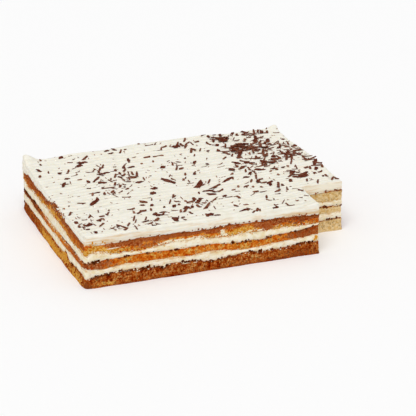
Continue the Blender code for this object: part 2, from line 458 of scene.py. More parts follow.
# ------------------------------------------------------------------ helpers for materials
class Recipe:
    """Short calls that set up a material's nodes."""

    def __init__(self, name, roughness, shine):
        self.material = bpy.data.materials.new(name)
        self.material.use_nodes = True
        self.tree = self.material.node_tree
        self.shader = self.tree.nodes["Principled BSDF"]
        self.shader.inputs["Roughness"].default_value = roughness
        self.shader.inputs["Specular IOR Level"].default_value = shine
        self.where = self.tree.nodes.new("ShaderNodeTexCoord").outputs["Object"]

    def node(self, kind, outlet, inputs, **settings):
        """Add a node, set or link its inputs, and return one of its outlets."""
        node = self.tree.nodes.new(kind)
        for name, value in settings.items():
            setattr(node, name, value)
        for socket, value in inputs.items():
            if isinstance(value, bpy.types.NodeSocket):
                self.tree.links.new(value, node.inputs[socket])
            else:
                node.inputs[socket].default_value = value
        return node.outputs[outlet]

    def attribute(self, name):
        return self.node("ShaderNodeAttribute", "Fac", {}, attribute_name=name)

    def place(self, size, shift=0.0):
        """Coordinates in which a bump of the given size or sizes is one unit."""
        sizes = (size,) * 3 if isinstance(size, float) else size
        scale = tuple(1 / each for each in sizes)
        inputs = {"Vector": self.where, "Scale": scale, "Location": (shift,) * 3}
        return self.node("ShaderNodeMapping", "Vector", inputs)

    def clouds(self, size, detail=3.0, rough=0.55, shift=0.0):
        inputs = {"Vector": self.place(size, shift), "Scale": 1.0, "Detail": detail, "Roughness": rough}
        return self.node("ShaderNodeTexNoise", "Fac", inputs)

    def cells(self, size):
        """Distance to the nearest of many scattered centres."""
        inputs = {"Vector": self.place(size), "Scale": 1.0}
        return self.node("ShaderNodeTexVoronoi", "Distance", inputs)

    def math(self, operation, first, second):
        return self.node("ShaderNodeMath", "Value", {0: first, 1: second}, operation=operation)

    def add(self, first, second):
        return self.math("ADD", first, second)

    def times(self, first, second):
        return self.math("MULTIPLY", first, second)

    def swing(self, value, size):
        """How far a value swings from one half, times size."""
        return self.times(self.add(value, -0.5), size)

    def band(self, value, low, high):
        """0 below low, 1 above high, smooth between. low may be above high."""
        inputs = {"Value": value, "From Min": low, "From Max": high}
        return self.node("ShaderNodeMapRange", "Result", inputs, interpolation_type="SMOOTHSTEP")

    def blend(self, share, first, second):
        """Second laid over first where share is 1. Both are colours."""
        inputs = {0: share, 6: as_colour(first), 7: as_colour(second)}
        return self.node("ShaderNodeMix", 2, inputs, data_type="RGBA")

    def cover(self, shade, attribute, uneven, other, low, high):
        """Another colour laid over the shade where an attribute, made uneven, passes from low to high."""
        value = self.add(self.attribute(attribute), uneven)
        return self.blend(self.band(value, low, high), shade, other)

    def tinted(self, shade, other):
        return self.node("ShaderNodeVectorMath", "Vector", {0: shade, 1: other}, operation="MULTIPLY")

    def darken(self, share, shade, low):
        """The shade times a grey that runs from low to 1 with share."""
        return self.tinted(shade, self.add(self.times(share, 1 - low), low))

    def finish(self, shade, height, depth):
        """Link the colour and a bump of the given depth, and return the material."""
        bump = self.node("ShaderNodeBump", "Normal", {"Strength": 1.0, "Distance": depth, "Height": height})
        self.tree.links.new(shade, self.shader.inputs["Base Color"])
        self.tree.links.new(bump, self.shader.inputs["Normal"])
        return self.material


def as_colour(value):
    return value if isinstance(value, bpy.types.NodeSocket) else (*value, 1.0)


def deepen(shade, power):
    """The shade made deeper and more saturated above 1, and paler below 1."""
    return tuple(part ** power for part in shade)


# Sizes of what shows in the materials.
PATCH = 9 * MM
SPONGE_PORE = 2.8 * MM
FINE_CRUMB = 1.6 * MM
SPONGE_SPECK = 2.4 * MM
CREAM_SPECK = 2.0 * MM
FINE_GRAIN = 0.9 * MM
KNIFE_STREAK = (8 * MM, 8 * MM, 1.6 * MM)
COMB_STREAK = (30 * MM, 2.6 * MM, 2.6 * MM)
SPECK_SHIFT = 5.0                   # sets the specks' noise apart from the others
SPONGE_BUMP = 0.35 * MM
CREAM_BUMP = 0.25 * MM
CREAM_DEPTH = 2.0 * MM              # how deep light enters cream
CREAM_GLOW = (1.0, 0.8, 0.55)
PORE_SHADE = (0.40, 0.30, 0.20)     # what a pore leaves of each part of the light


def cream_material(name, colours, main, streak, uneven_power):
    """Cream streaked by knife or comb, tan where the sponge has stained it and tan as painted shade on the
    top cream's walls, darker as painted shade in the streaks' hollows and the comb's valleys, with specks of
    crumb.
    """
    recipe = Recipe(name, roughness=0.6, shine=0.05)
    patches = recipe.clouds(PATCH)
    streaks = recipe.clouds(streak)
    shade = recipe.blend(recipe.band(patches, 0.3, 0.6), deepen(main, uneven_power), main)
    # Painted shade in the hollows of the streaks: where the streak noise, which also lowers the bump, is low,
    # the colour is darkened to 0.93.
    shade = recipe.darken(recipe.band(streaks, 0.3, 0.6), shade, 0.93)
    shade = recipe.blend(recipe.attribute("fresh"), shade, colours.ivory)
    # Painted shade in the comb's valleys: the colour there is darkened to 0.86.
    ridge = recipe.add(1.0, recipe.times(recipe.attribute("groove"), -1.0))
    shade = recipe.darken(ridge, shade, 0.86)
    # Stain on the creams. On the top cream's walls this is also painted shade.
    shade = recipe.cover(shade, "stain", recipe.swing(streaks, 2.2), colours.stain, 0.1, 1.1)
    specks = recipe.swing(recipe.clouds(CREAM_SPECK, detail=2.0, rough=0.5, shift=SPECK_SHIFT), 2.6)
    speck = recipe.band(recipe.add(specks, recipe.attribute("speck")), 0.58, 0.92)
    shade = recipe.blend(recipe.times(speck, 0.75), shade, colours.toasted)
    grain = recipe.add(recipe.times(streaks, 0.85), recipe.times(recipe.clouds(FINE_GRAIN), 0.15))
    recipe.shader.inputs["Subsurface Weight"].default_value = 0.1
    recipe.shader.inputs["Subsurface Radius"].default_value = CREAM_GLOW
    recipe.shader.inputs["Subsurface Scale"].default_value = CREAM_DEPTH
    return recipe.finish(shade, grain, CREAM_BUMP)


def sponge_material(name, colours, sponge):
    """Soaked crumb: mottled, golden where dry, with a dark crust and specks of cream, and painted shade in
    its pores and in the hollows of its relief.
    """
    recipe = Recipe(name, sponge.roughness, shine=0.0)
    main = getattr(colours, sponge.main)
    patches = recipe.clouds(PATCH, detail=2.0)
    crumb = recipe.clouds(sponge.grain, detail=2.0, rough=0.5)
    fine = recipe.clouds(FINE_CRUMB, detail=2.0)
    holes = recipe.cells(SPONGE_PORE)
    uneven = recipe.swing(crumb, 2.4)
    deep, pale = deepen(main, 1.14 + 0.16 * sponge.porous), deepen(main, 0.88 - 0.1 * sponge.porous)
    shade = recipe.blend(recipe.band(patches, 0.38, 0.62), deep, pale)
    shade = recipe.cover(shade, "gold", uneven, colours.gold, 0.3, 0.75)
    shade = recipe.cover(shade, "toast", uneven, colours.toasted, 0.3, 0.7)
    fresh = recipe.blend(recipe.band(crumb, 0.3, 0.6), deepen(colours.fresh, 1.5), colours.fresh)
    shade = recipe.blend(recipe.attribute("fresh"), shade, fresh)

    mottle = recipe.add(recipe.swing(crumb, -2.6), recipe.swing(fine, -1.5))
    calm = recipe.add(1.0, recipe.times(recipe.attribute("smooth"), -0.75))
    mottle = recipe.times(mottle, recipe.times(calm, sponge.contrast))
    power = recipe.math("MAXIMUM", recipe.add(mottle, 1.0), 0.5)
    shade = recipe.node("ShaderNodeGamma", "Color", {"Color": shade, "Gamma": power})
    # Painted shade in the pores: the colour there is multiplied by PORE_SHADE.
    pore = recipe.band(recipe.add(holes, recipe.times(recipe.attribute("smooth"), 0.3)), 0.28, 0.12)
    hole = recipe.blend(recipe.times(pore, 0.5 + 0.3 * sponge.porous), (1, 1, 1), PORE_SHADE)
    shade = recipe.tinted(shade, hole)

    shade = recipe.cover(shade, "crust", uneven, colours.crust, 0.2, 0.6)
    shade = recipe.cover(shade, "crust", uneven, colours.dark, 0.85, 1.2)
    specks = recipe.swing(recipe.clouds(SPONGE_SPECK, detail=2.0, rough=0.5, shift=SPECK_SHIFT), 2.6)
    shade = recipe.cover(shade, "speck", specks, deepen(colours.ivory, 1.6), 0.6, 0.85)
    # Painted shade in the crumb's hollows: where the relief sinks below 0, the colour is darkened down to
    # 0.68.
    shade = recipe.darken(recipe.band(recipe.attribute("relief"), -1.1, 0.0), shade, 0.68)
    height = recipe.add(recipe.times(crumb, 0.4), recipe.times(recipe.clouds(FINE_GRAIN), 0.6))
    return recipe.finish(shade, height, SPONGE_BUMP)


# How a small piece looks: the size and edges of its patches, its grain and how deep the grain stands.
Finish = namedtuple("Finish", "roughness shine patch low high grain depth")
CHOCOLATE_FINISH = Finish(0.6, 0.03, 3.5 * MM, 0.35, 0.65, 0.6 * MM, 0.1 * MM)
CRUMB_FINISH = Finish(0.85, 0.0, 3 * MM, 0.38, 0.62, 0.6 * MM, 0.15 * MM)
SMEAR_FINISH = Finish(0.6, 0.05, 4 * MM, 0.35, 0.65, 0.9 * MM, 0.2 * MM)


def patchy_material(name, finish, dark, light):
    """Patches of a dark and a light shade, as on chocolate, crumbs and smears."""
    recipe = Recipe(name, finish.roughness, finish.shine)
    patches = recipe.band(recipe.clouds(finish.patch, detail=2.0), finish.low, finish.high)
    grain = recipe.clouds(finish.grain, detail=2.0)
    return recipe.finish(recipe.blend(patches, dark, light), grain, finish.depth)


# ------------------------------------------------------------------ sponges
# Patches of another look on a layer's walls: how far along the wall and how high, fading over its reaches.
Patch = namedtuple("Patch", "wall along height reach_along reach_up strength")
PATCHES = {}
for layer_name, look, rows in (
    ("bottom_sponge", "gold", (
        ("front", 32, 4, 16, 4, 0.6), ("front", 66, 4, 12, 4, 0.3), ("front", 190, 10, 60, 3.5, 0.22),
        ("left", 150, 5, 60, 9, 1.0), ("left", 208, 13, 11, 6, 1.2), ("left", 262, 1, 26, 4, 0.6),
        ("left", 255, 6, 32, 7, 0.55),
    )),
    ("bottom_sponge", "speck", (
        ("front", 265, 15, 60, 3, 0.3), ("front", 60, 17, 60, 3, 0.3), ("left", 150, 5, 60, 8, 0.1),
    )),
    ("bottom_sponge", "crust", (
        ("front", 300, 3, 45, 7, 0.3), ("front", 2, 3, 7, 6, 0.5), ("front", 165, 0, 230, 5, 0.42),
        ("left", 30, 5, 50, 9, 0.45),
    )),
    ("bottom_sponge", "smooth", (("left", 145, 6, 160, 20, 0.6),)),
    ("bottom_sponge", "toast", (("front", 300, 4, 30, 8, 0.35),)),
    ("middle_sponge", "crust", (
        ("left", 40, 29, 60, 8, 0.75), ("front", 296, 33, 34, 8, 0.25),
    )),
    ("top_sponge", "crust", (
        ("left", 60, 52, 40, 9, 0.2), ("front", 290, 51, 26, 7, 0.3),
    )),
    ("middle_sponge", "toast", (
        ("front", 12, 33, 30, 12, 1.0), ("front", 300, 34, 32, 12, 1.0), ("left", 40, 28, 75, 12, 1.1),
        ("left", 255, 31, 50, 12, 0.7),
    )),
    ("middle_sponge", "gold", (
        ("front", 57, 33, 6, 5, 0.8), ("front", 90, 33, 6, 5, 0.6), ("front", 139, 31, 6, 4, 0.7),
        ("front", 218, 30, 26, 5, 0.65), ("front", 256, 32, 24, 6, 0.25), ("left", 155, 31, 40, 5, 0.5),
    )),
    ("middle_sponge", "speck", (
        ("left", 150, 31, 50, 5, 0.6), ("left", 245, 31, 40, 4, 0.35),
    )),
    ("top_sponge", "toast", (
        ("front", 8, 56, 22, 9, -1.0), ("front", 210, 55, 20, 8, -0.9), ("front", 206, 56, 7, 4, 1.0),
        ("front", 244, 49, 9, 8, 1.0), ("front", 284, 50, 32, 8, 0.55), ("left", 55, 50, 55, 9, 0.6),
        ("left", 255, 52, 45, 9, 0.5), ("front", 84, 47, 24, 5, 0.6),
    )),
    ("top_sponge", "torn", (("left", 172, 64, 56, 20, 1.4),)),
    ("top_sponge", "gold", (
        ("front", 14, 50, 22, 9, 0.7), ("front", 50, 45, 14, 4, 0.3), ("front", 210, 50, 24, 7, 0.6),
        ("front", 272, 46, 20, 4, 0.5), ("left", 95, 48, 40, 4, 0.6), ("left", 165, 55, 40, 9, 0.4),
    )),
    ("top_sponge", "speck", (
        ("left", 150, 54, 48, 8, 0.12), ("front", 130, 46, 26, 4, 0.6), ("front", 184, 49.5, 3.5, 5, 1.3),
        ("front", 245, 47, 70, 3, 0.4), ("front", 45, 47, 50, 5, -0.3),
    )),
    ("top_sponge", "smooth", (
        ("front", 115, 55, 75, 5, 1.0), ("front", 244, 50, 9, 8, 1.0), ("left", 262, 54, 45, 8, 0.9),
    )),
    # On the top cream, the front patch 66 mm high near the left is painted shade under the rim. Its other
    # patches are stain.
    ("top_cream", "stain", (
        ("front", 296, 59, 34, 4.5, 0.62), ("front", 40, 66, 65, 8, 0.36), ("front", 35, 61, 50, 3, 0.18),
        ("cut_back", 30, 59, 40, 3, 0.15), ("cut_left", 30, 60, 40, 3, 0.5), ("back", 190, 60, 200, 3, 0.4),
        ("right", 110, 60, 120, 3, 0.4),
    )),
    ("lower_cream", "stain", (
        ("front", 80, 22, 80, 8, 0.34), ("front", 275, 22, 50, 8, 0.16),
    )),
):
    PATCHES[layer_name, look] = [Patch(row[0], *(size * MM for size in row[1:5]), row[5]) for row in rows]

# A run of crumbs along a sponge's or a cream's upper edge. lift: how far they stray from it.
Run = namedtuple("Run", "layer wall start end strength lift")


def make_runs(groups):
    """Runs from rows in mm, grouped by layer."""
    return tuple(
        Run(layer, wall, start * MM, end * MM, strength, lift * MM)
        for layer, rows in groups for wall, start, end, strength, lift in rows
    )


# Runs of dark crust.
CRUST_RUNS = make_runs((
    ("bottom_sponge", (
        ("front", 8, 115, 0.95, 0.5), ("front", 127, 152, 1.1, 0.6), ("front", 152, 215, 0.5, 0.3),
        ("front", 215, 242, 0.7, 0.3), ("front", 242, 282, 0.4, 0.3), ("front", 282, 314, 0.7, 0.3),
        ("left", 3, 85, 0.25, 0.4), ("left", 225, 288, 0.2, 0.4), ("cut_back", 0, 62, 0.5, 0.5),
        ("cut_left", 0, 62, 0.5, 0.5), ("back", 0, 382, 0.6, 0.7), ("right", 0, 228, 0.6, 0.7),
    )),
    ("middle_sponge", (
        ("front", 4, 22, 1.0, 0.9), ("front", 22, 62, 0.35, 0.5), ("front", 62, 139, 0.25, 0.4),
        ("front", 139, 195, 0.2, 0.4), ("front", 195, 253, 0.5, 0.8), ("front", 253, 312, 0.25, 0.4),
        ("left", 0, 20, 0.9, 0.4), ("left", 20, 100, 0.3, 0.3), ("left", 195, 290, 0.2, 0.4),
        ("cut_back", 0, 62, 1.0, 0.5), ("cut_left", 0, 62, 1.0, 0.5), ("back", 0, 382, 0.4, 0.6),
        ("right", 0, 228, 0.4, 0.6),
    )),
    ("top_sponge", (
        ("front", 45, 127, 0.45, 0.3), ("front", 127, 200, 0.9, 0.3), ("front", 200, 235, 0.6, 0.3),
        ("front", 235, 318, 0.85, 0.3), ("left", 10, 120, 0.3, 0.4), ("left", 124, 215, 0.5, 1.0),
        ("left", 205, 288, 0.3, 0.5), ("cut_back", 0, 62, 0.8, 0.5), ("cut_left", 0, 62, 0.8, 0.5),
        ("back", 10, 372, 0.5, 0.5), ("right", 4, 218, 0.5, 0.5),
    )),
))


WALL_REACH = 6 * MM      # how far in from a wall its looks reach
CORNER_REACH = 3 * MM    # how far they reach past its ends
RUN_END = 2 * MM         # a run of crust fades in and out over twice this length


def along_wall(wall, points):
    """How far along a wall each point lies, and how near the wall it is, from 0 to 1."""
    start, end = np.array(wall.start), np.array(wall.end)
    direction = (end - start) / np.linalg.norm(end - start)
    offset = points[:, :2] - start
    along = offset @ direction
    away = offset @ np.array(wall.out)
    beyond = np.maximum(np.maximum(-along, along - np.linalg.norm(end - start)), 0)
    return along, fade(away, WALL_REACH) * fade(beyond, CORNER_REACH)


def patch_values(layer_name, look, points):
    """How much a layer's patches of one look add at each point."""
    values = np.zeros(len(points))
    for patch in PATCHES.get((layer_name, look), ()):
        along, near = along_wall(WALL[patch.wall], points)
        near = near * fade(along - patch.along, patch.reach_along)
        values += patch.strength * near * fade(points[:, 2] - patch.height, patch.reach_up)
    return values


def crust_values(layer_name, points):
    """How much dark crust a layer's runs put on each point."""
    values = np.zeros(len(points))
    for run in CRUST_RUNS:
        if run.layer == layer_name:
            along, near = along_wall(WALL[run.wall], points)
            inside = smooth_step(-RUN_END, RUN_END, along - run.start)
            inside = inside * smooth_step(RUN_END, -RUN_END, along - run.end)
            values = np.maximum(values, run.strength * near * inside)
    return values


# rows: rows of wall cells. relief and porous: how rough and how full of pores it is. main: its colour.
# grain: size of its crumb. contrast: how strongly it is mottled. golden_foot: how golden its lower half is.
# toast_above: share of its height above which it is toasted. speckle: what is added to its specks of cream.
Sponge = namedtuple(
    "Sponge", "layer rows relief porous main roughness grain contrast golden_foot toast_above speckle"
)
SPONGES = (
    Sponge("bottom_sponge", 4, 1.0, 1.0, "soaked", 0.9, 2.8 * MM, 1.05, 0.0, 9.0, -0.12),
    Sponge("middle_sponge", 2, 0.5, 0.35, "amber", 0.8, 3.4 * MM, 0.9, 0.0, 9.0, -0.1),
    Sponge("top_sponge", 3, 0.8, 0.7, "amber", 0.85, 3.2 * MM, 1.0, 0.45, 0.5, -0.1),
)
BASE_SAG = 1.6 * MM       # how far the soaked bottom sponge spreads at its foot
CORNER_NIP = 2.0 * MM     # how far its foot draws in again at the front left corner
TORN_HEIGHT = 5 * MM      # how high the lumps of a torn upper edge stand
EDGE_ROLL = 0.6 * MM      # how far a sponge's edges draw in
COARSE_CRUMB = 4.0 * MM
CRUMB_PORE = 3.4 * MM


def sponge_levels(sponge, form, sizes):
    """Heights of a sponge's foot and upper edge, ragged along the walls and lumpy where it is torn."""
    bottom, top = levels_of(form)
    wall, shift = form.on_wall, form.shift
    flat = np.column_stack((form.x, form.y, np.zeros_like(form.x)))[wall]
    edge = np.column_stack((form.x, form.y, top))
    calm = 1 - 0.6 * np.clip(patch_values(sponge.layer, "smooth", edge), 0, 1)
    torn = np.clip(patch_values(sponge.layer, "torn", edge), 0, 1)
    lumps = spread(wall, TORN_HEIGHT * (fractal(flat, 9 * MM, 2, 0.6 * shift) + 0.4))
    if form.index > 0:
        ragged = spread(wall, fractal(flat, 3.0 * MM, 3, shift) + 1.2 * fractal(flat, 10 * MM, 2, shift))
        bottom = bottom + sizes.ragged_edge * ragged
    ragged = spread(wall, fractal(flat, 3.2 * MM, 3, -shift) + 1.2 * fractal(flat, 11 * MM, 2, -shift))
    ragged_top = sizes.ragged_edge * ragged * calm * (1 + torn) + torn * lumps
    return bottom, top + np.maximum(ragged_top, -0.9 * CREAM_LAP)


def sponge_relief(sponge, form, wall, smooth):
    """Crumb and pores of a sponge's walls: how far they stand out, as a share of the crumb's relief."""
    relief = fractal(wall, COARSE_CRUMB, 4, form.shift) * 0.8
    relief += fractal(wall, FINE_CRUMB, 2, form.shift) * 0.45
    relief -= sponge.porous * smooth_step(0.42, 0.12, pores(wall, CRUMB_PORE, form.shift)) * 1.3
    relief *= 1 - 0.7 * smooth
    if form.index == 0:
        relief *= smooth_step(-2 * MM, 4 * MM, wall[:, 2])
    return relief


def sponge_looks(sponge, form, wall, below_edge, edge_room, relief, smooth):
    """How golden, toasted, smooth, crusted, specked with cream and freshly cut a sponge is."""
    def patches(look):
        return patch_values(sponge.layer, look, wall)

    slow = fractal(wall, (22 * MM, 22 * MM, 6 * MM), 3, form.shift)
    rise = form.rise[form.on_wall]
    lower_half = smooth_step(0.75, 0.25, rise - 0.35 * slow)
    toasted = smooth_step(-0.1, 0.1, rise - sponge.toast_above + 0.3 * slow)
    near_top = smooth_step(3.4 * MM, 0.8 * MM, below_edge)
    near_cream = smooth_step(3.0 * MM, 0.2 * MM, edge_room)
    looks = {
        # relief: the crumb's height. The material paints shade in its hollows.
        "relief": relief,
        "gold": sponge.golden_foot * lower_half + patches("gold") + 0.3 * slow,
        "toast": toasted + patches("toast"),
        "smooth": smooth,
        "crust": near_top * crust_values(sponge.layer, wall) + patches("crust"),
        "speck": sponge.speckle + 0.35 * near_cream + patches("speck"),
    }
    looks = {name: spread(form.on_wall, values) for name, values in looks.items()}
    cut = form.fresh * smooth_step(1.0, 0.85, form.rise)
    looks["fresh"] = 0.95 * cut
    looks["speck"] -= form.fresh
    looks["crust"] -= 0.5 * cut
    looks["smooth"] = np.maximum(looks["smooth"], form.fresh)
    return looks


def make_sponge(sponge, sizes, colours):
    """One sponge: crumb and pores on its walls, ragged edges, and where it is golden or toasted."""
    form = start_form(sponge.layer, SPONGE_CELLS, sponge.rows, WALL_CUTS)
    bottom, top = sponge_levels(sponge, form, sizes)
    z = bottom + (top - bottom) * form.rise
    wall = np.column_stack((form.x, form.y, z))[form.on_wall]
    below_edge = edge_room = (top - z)[form.on_wall]
    if form.index > 0:
        edge_room = np.minimum(below_edge, (z - bottom)[form.on_wall])
    smooth = np.clip(patch_values(sponge.layer, "smooth", wall), 0, 1)
    relief = sponge_relief(sponge, form, wall, smooth)
    push = sizes.crumb_relief * sponge.relief * relief - EDGE_ROLL * smooth_step(1.4 * MM, 0, edge_room)
    if form.index == 0:
        near_corner = fade(wall[:, 0] - LEFT, 9 * MM) * fade(wall[:, 1] - FRONT, 9 * MM)
        push += BASE_SAG * smooth_step(8 * MM, 0, wall[:, 2])
        push -= CORNER_NIP * near_corner * smooth_step(4.0 * MM, 0, wall[:, 2])
    push_walls(form, z, push - stand_back(form))
    for name, values in sponge_looks(sponge, form, wall, below_edge, edge_room, relief, smooth).items():
        set_attribute(form.piece, name, values)
    finish_layer(form, sponge_material(form.piece.name, colours, sponge))


# ------------------------------------------------------------------ creams between the sponges
CREAMS = ("lower_cream", "upper_cream")
CREAM_ROWS = 2
BELLY = 1.0 * MM              # how far a cream bulges between two sponges
CREAM_SETBACK = 0.4 * MM      # how far its edges stand inside a sponge's
CREAM_STREAKS = 0.25 * MM
CREAM_LUMPS = 0.35 * MM


def make_cream(layer_name, colours):
    """One cream: a soft belly between the sponges, streaked by the knife, reaching behind their edges."""
    form = start_form(layer_name, SPONGE_CELLS, CREAM_ROWS, WALL_CUTS)
    low, high = levels_of(form)
    lap = np.where(form.on_wall, CREAM_LAP, 0)
    z = low - lap + (high - low + 2 * lap) * form.rise
    wall = np.column_stack((form.x, form.y, z))[form.on_wall]
    share = ((z - low) / (high - low))[form.on_wall]
    belly = np.clip(4 * share * (1 - share), -0.6, 1)
    streaks = fractal(wall, (16 * MM, 16 * MM, 1.8 * MM), 3, form.shift)
    lumps = fractal(wall, 6 * MM, 3, form.shift)
    push = BELLY * belly + CREAM_STREAKS * streaks + CREAM_LUMPS * lumps
    push_walls(form, z, push - stand_back(form, CREAM_SETBACK))

    near_sponge = 0.5 * smooth_step(0.30, 0.0, share) + 0.5 * smooth_step(0.65, 1.0, share)
    in_lumps = 0.35 * smooth_step(0.1, 0.5, lumps)
    stain = spread(form.on_wall, near_sponge + in_lumps + patch_values(layer_name, "stain", wall))
    stain[form.fresh] = np.maximum(stain[form.fresh], 0.25)
    speck = spread(form.on_wall, 0.38 * smooth_step(0.45, 0.05, np.minimum(share, 1 - share)))
    set_attribute(form.piece, "stain", np.clip(stain, 0, 1))
    set_attribute(form.piece, "speck", speck - 0.5 * form.fresh)
    material = cream_material(form.piece.name, colours, colours.ivory, KNIFE_STREAK, uneven_power=2.4)
    finish_layer(form, material)


# ------------------------------------------------------------------ combed top cream
TOP_CREAM_ROWS = 3
TOP_CREAM_SETBACK = 0.5 * MM
RIM_BULGE = 0.9 * MM          # how far its walls stand out above the sponge
RIM_LEAN = 1.2 * MM           # how far they lean in again at their upper edge
WALL_LUMPS = 0.45 * MM
WALL_STREAKS = 0.2 * MM
SWELL_HEIGHT = 0.7 * MM
# The comb was drawn along X by hand, so its lines sway and spread like a fan.
SLOW_SWAY = 3.2 * MM
SLOW_SWAY_LENGTH = 0.31
QUICK_SWAY = 1.3 * MM
QUICK_SWAY_LENGTH = 0.113
HAND_WANDER = 4.0 * MM
FAN_SLOPE = 0.10
FAN_REACH = 90 * MM


def comb_grooves(x, y, pitch, wander):
    """Height of the combed ridges, from -1 to 1, and where their valleys are."""
    sway = SLOW_SWAY * np.sin(math.tau * x / SLOW_SWAY_LENGTH + 0.6)
    sway = sway + QUICK_SWAY * np.sin(math.tau * x / QUICK_SWAY_LENGTH + y / 0.04)
    fan = (x - LEFT) * FAN_SLOPE * fade(y - FRONT, FAN_REACH)
    across = (y + sway - fan + HAND_WANDER * wander) / pitch
    ridge = 0.5 - np.exp(-(np.sin(math.pi * across) / 0.45) ** 2)
    lip = np.cos(math.tau * across * 2 + 1.2)
    fine = np.cos(math.tau * across * 3 + 1.1)
    valley = np.exp(-(np.sin(math.pi * across) / 0.32) ** 2)
    return 1.1 * ridge + 0.2 * lip + 0.12 * fine, valley


def edge_distances(x, y):
    """Distances to the outer walls and to the cut walls."""
    to_outer = np.minimum.reduce((x - LEFT, RIGHT - x, y - FRONT, BACK - y))
    to_cut = np.hypot(np.maximum(NOTCH_X - x, 0), np.maximum(y - NOTCH_Y, 0))
    return to_outer, to_cut


def combed_surface(form, high, sizes):
    """Height of the combed upper face, and how deep in a valley of the comb each point lies, for the painted
    shade there.
    """
    is_top = form.rise > 1 - SAME_PLACE
    flat = np.column_stack((form.x, form.y, np.zeros_like(form.x)))[is_top]

    def uneven(size, octaves, shift):
        return spread(is_top, fractal(flat, size, octaves, shift))

    worn = smooth_step(-0.35, 0.35, uneven((60 * MM, 24 * MM, 1.0), 2, -form.shift)) * is_top
    wander = uneven((34 * MM, 26 * MM, 1.0), 3, -form.shift)
    ridges, valley = comb_grooves(form.x, form.y, sizes.comb_pitch, wander)
    inner = smooth_step(-3 * MM, 4 * MM, np.minimum(*edge_distances(form.x, form.y)))
    depth = sizes.comb_depth * (0.35 + 0.65 * worn)
    surface = high + inner * depth * ridges
    lumps = uneven((22 * MM, 4 * MM, 1.0), 3, form.shift)
    surface += SWELL_HEIGHT * uneven(34 * MM, 2, form.shift) + CREAM_LUMPS * lumps
    return surface, valley * is_top * inner * worn


def rounding(distance, radius):
    """How far a rounded rim drops at a distance from its edge."""
    inside = np.clip(radius - distance, 0, radius)
    return radius - np.sqrt(np.maximum(radius ** 2 - inside ** 2, 0))


def make_top_cream(sizes, colours):
    """The top cream: combed ridges, soft rims, peaks at the back corners, a stained lower edge, and painted
    shade on its walls and in the comb's valleys.
    """
    form = start_form("top_cream", CREAM_CELLS, TOP_CREAM_ROWS, TOP_CUTS, with_top=True)
    low, high = levels_of(form)
    surface, valley = combed_surface(form, high, sizes)
    to_outer, to_cut = edge_distances(form.x, form.y)
    softness = np.clip((surface - low) / (2.4 * sizes.rim_radius), 0.1, 0.8)
    drop = rounding(to_outer, sizes.rim_radius) * softness
    surface -= np.maximum(drop, rounding(to_cut, sizes.cut_radius) * 0.8)

    lap = np.where(form.on_wall, CREAM_LAP, 0)
    z = low - lap + (surface - low + lap) * form.rise
    wall = np.column_stack((form.x, form.y, z))[form.on_wall]
    share = ((z - low) / (surface - low))[form.on_wall]
    fresh = form.fresh[form.on_wall]
    lumps = fractal(wall, 7 * MM, 3, form.shift)
    streaks = fractal(wall, (18 * MM, 18 * MM, 2.4 * MM), 3, form.shift)
    push = RIM_BULGE * smooth_step(-0.15, 0.25, share) + WALL_LUMPS * lumps + WALL_STREAKS * streaks
    push -= stand_back(form, TOP_CREAM_SETBACK)
    push_walls(form, z, push - RIM_LEAN * smooth_step(0.55, 1.0, share) * ~fresh)

    # Painted shade: every wall takes 0.19 of the stain colour, standing in for the walls getting less light
    # than the top. The extra 0.1 towards the foot is stain. The patches are stain too, except the front patch
    # high on the left, which is painted shade under the rim.
    stain = 0.19 + 0.1 * smooth_step(0.9, 0.0, share) + patch_values("top_cream", "stain", wall)
    speck = 0.5 * smooth_step(0.4, 0.0, share) - 0.15 - 0.5 * fresh
    set_attribute(form.piece, "stain", np.clip(spread(form.on_wall, stain), 0, 1))
    set_attribute(form.piece, "speck", spread(form.on_wall, speck, -0.5))
    set_attribute(form.piece, "fresh", 0.8 * form.fresh * smooth_step(1.0, 0.9, form.rise))
    # groove carries where shade is painted in the comb's valleys.
    set_attribute(form.piece, "groove", valley)
    material = cream_material(form.piece.name, colours, colours.cream, COMB_STREAK, uneven_power=1.4)
    finish_layer(form, material)


# ------------------------------------------------------------------ scattering
CHOCOLATE_SEED = 41
CRUMB_SEED = 7
SMEAR_SEED = 19
ABOVE = 1.0             # height from which things are dropped on the cake
BESIDE = 0.05           # distance from which things are pressed on its walls
SHARP_EDGE = 40         # degrees at which two faces of a small piece meet in a sharp edge
CRUMB_UNEVEN = (0.6, 1.25)
SLIVER_CUTS = (-0.3, -0.1, 0.1, 0.3)


def surface_of(name):
    """A searchable copy of a finished piece's surface."""
    return BVHTree.FromObject(bpy.data.objects[name], bpy.context.evaluated_depsgraph_get())


def layer_surfaces():
    return [surface_of(layer.piece) for layer in LAYERS]


def drop_on(tree, x, y):
    """Where something dropped at x, y lands, or None."""
    return tree.ray_cast(Vector((x, y, ABOVE)), Vector((0, 0, -1)))[0]


def spot_along(wall, along):
    start, end = Vector(wall.start), Vector(wall.end)
    return start + (end - start).normalized() * along


def press_on_wall(trees, wall, along, z):
    """Place and normal where something pressed against a wall touches the cake."""
    out = Vector((*wall.out, 0))
    origin = Vector((*spot_along(wall, along), z)) + out * BESIDE
    hits = [tree.ray_cast(origin, -out, 2 * BESIDE) for tree in trees]
    hits = [hit for hit in hits if hit[0] is not None]
    if not hits:
        return None, None
    nearest = min(hits, key=lambda hit: hit[3])
    return nearest[0], nearest[1]


def edge_height(wall, along, layer_name):
    """Height of a layer's upper edge on a wall."""
    spot = spot_along(wall, along)
    return float(level(LAYER_INDEX[layer_name], np.array([spot.x]), np.array([spot.y]))[0])


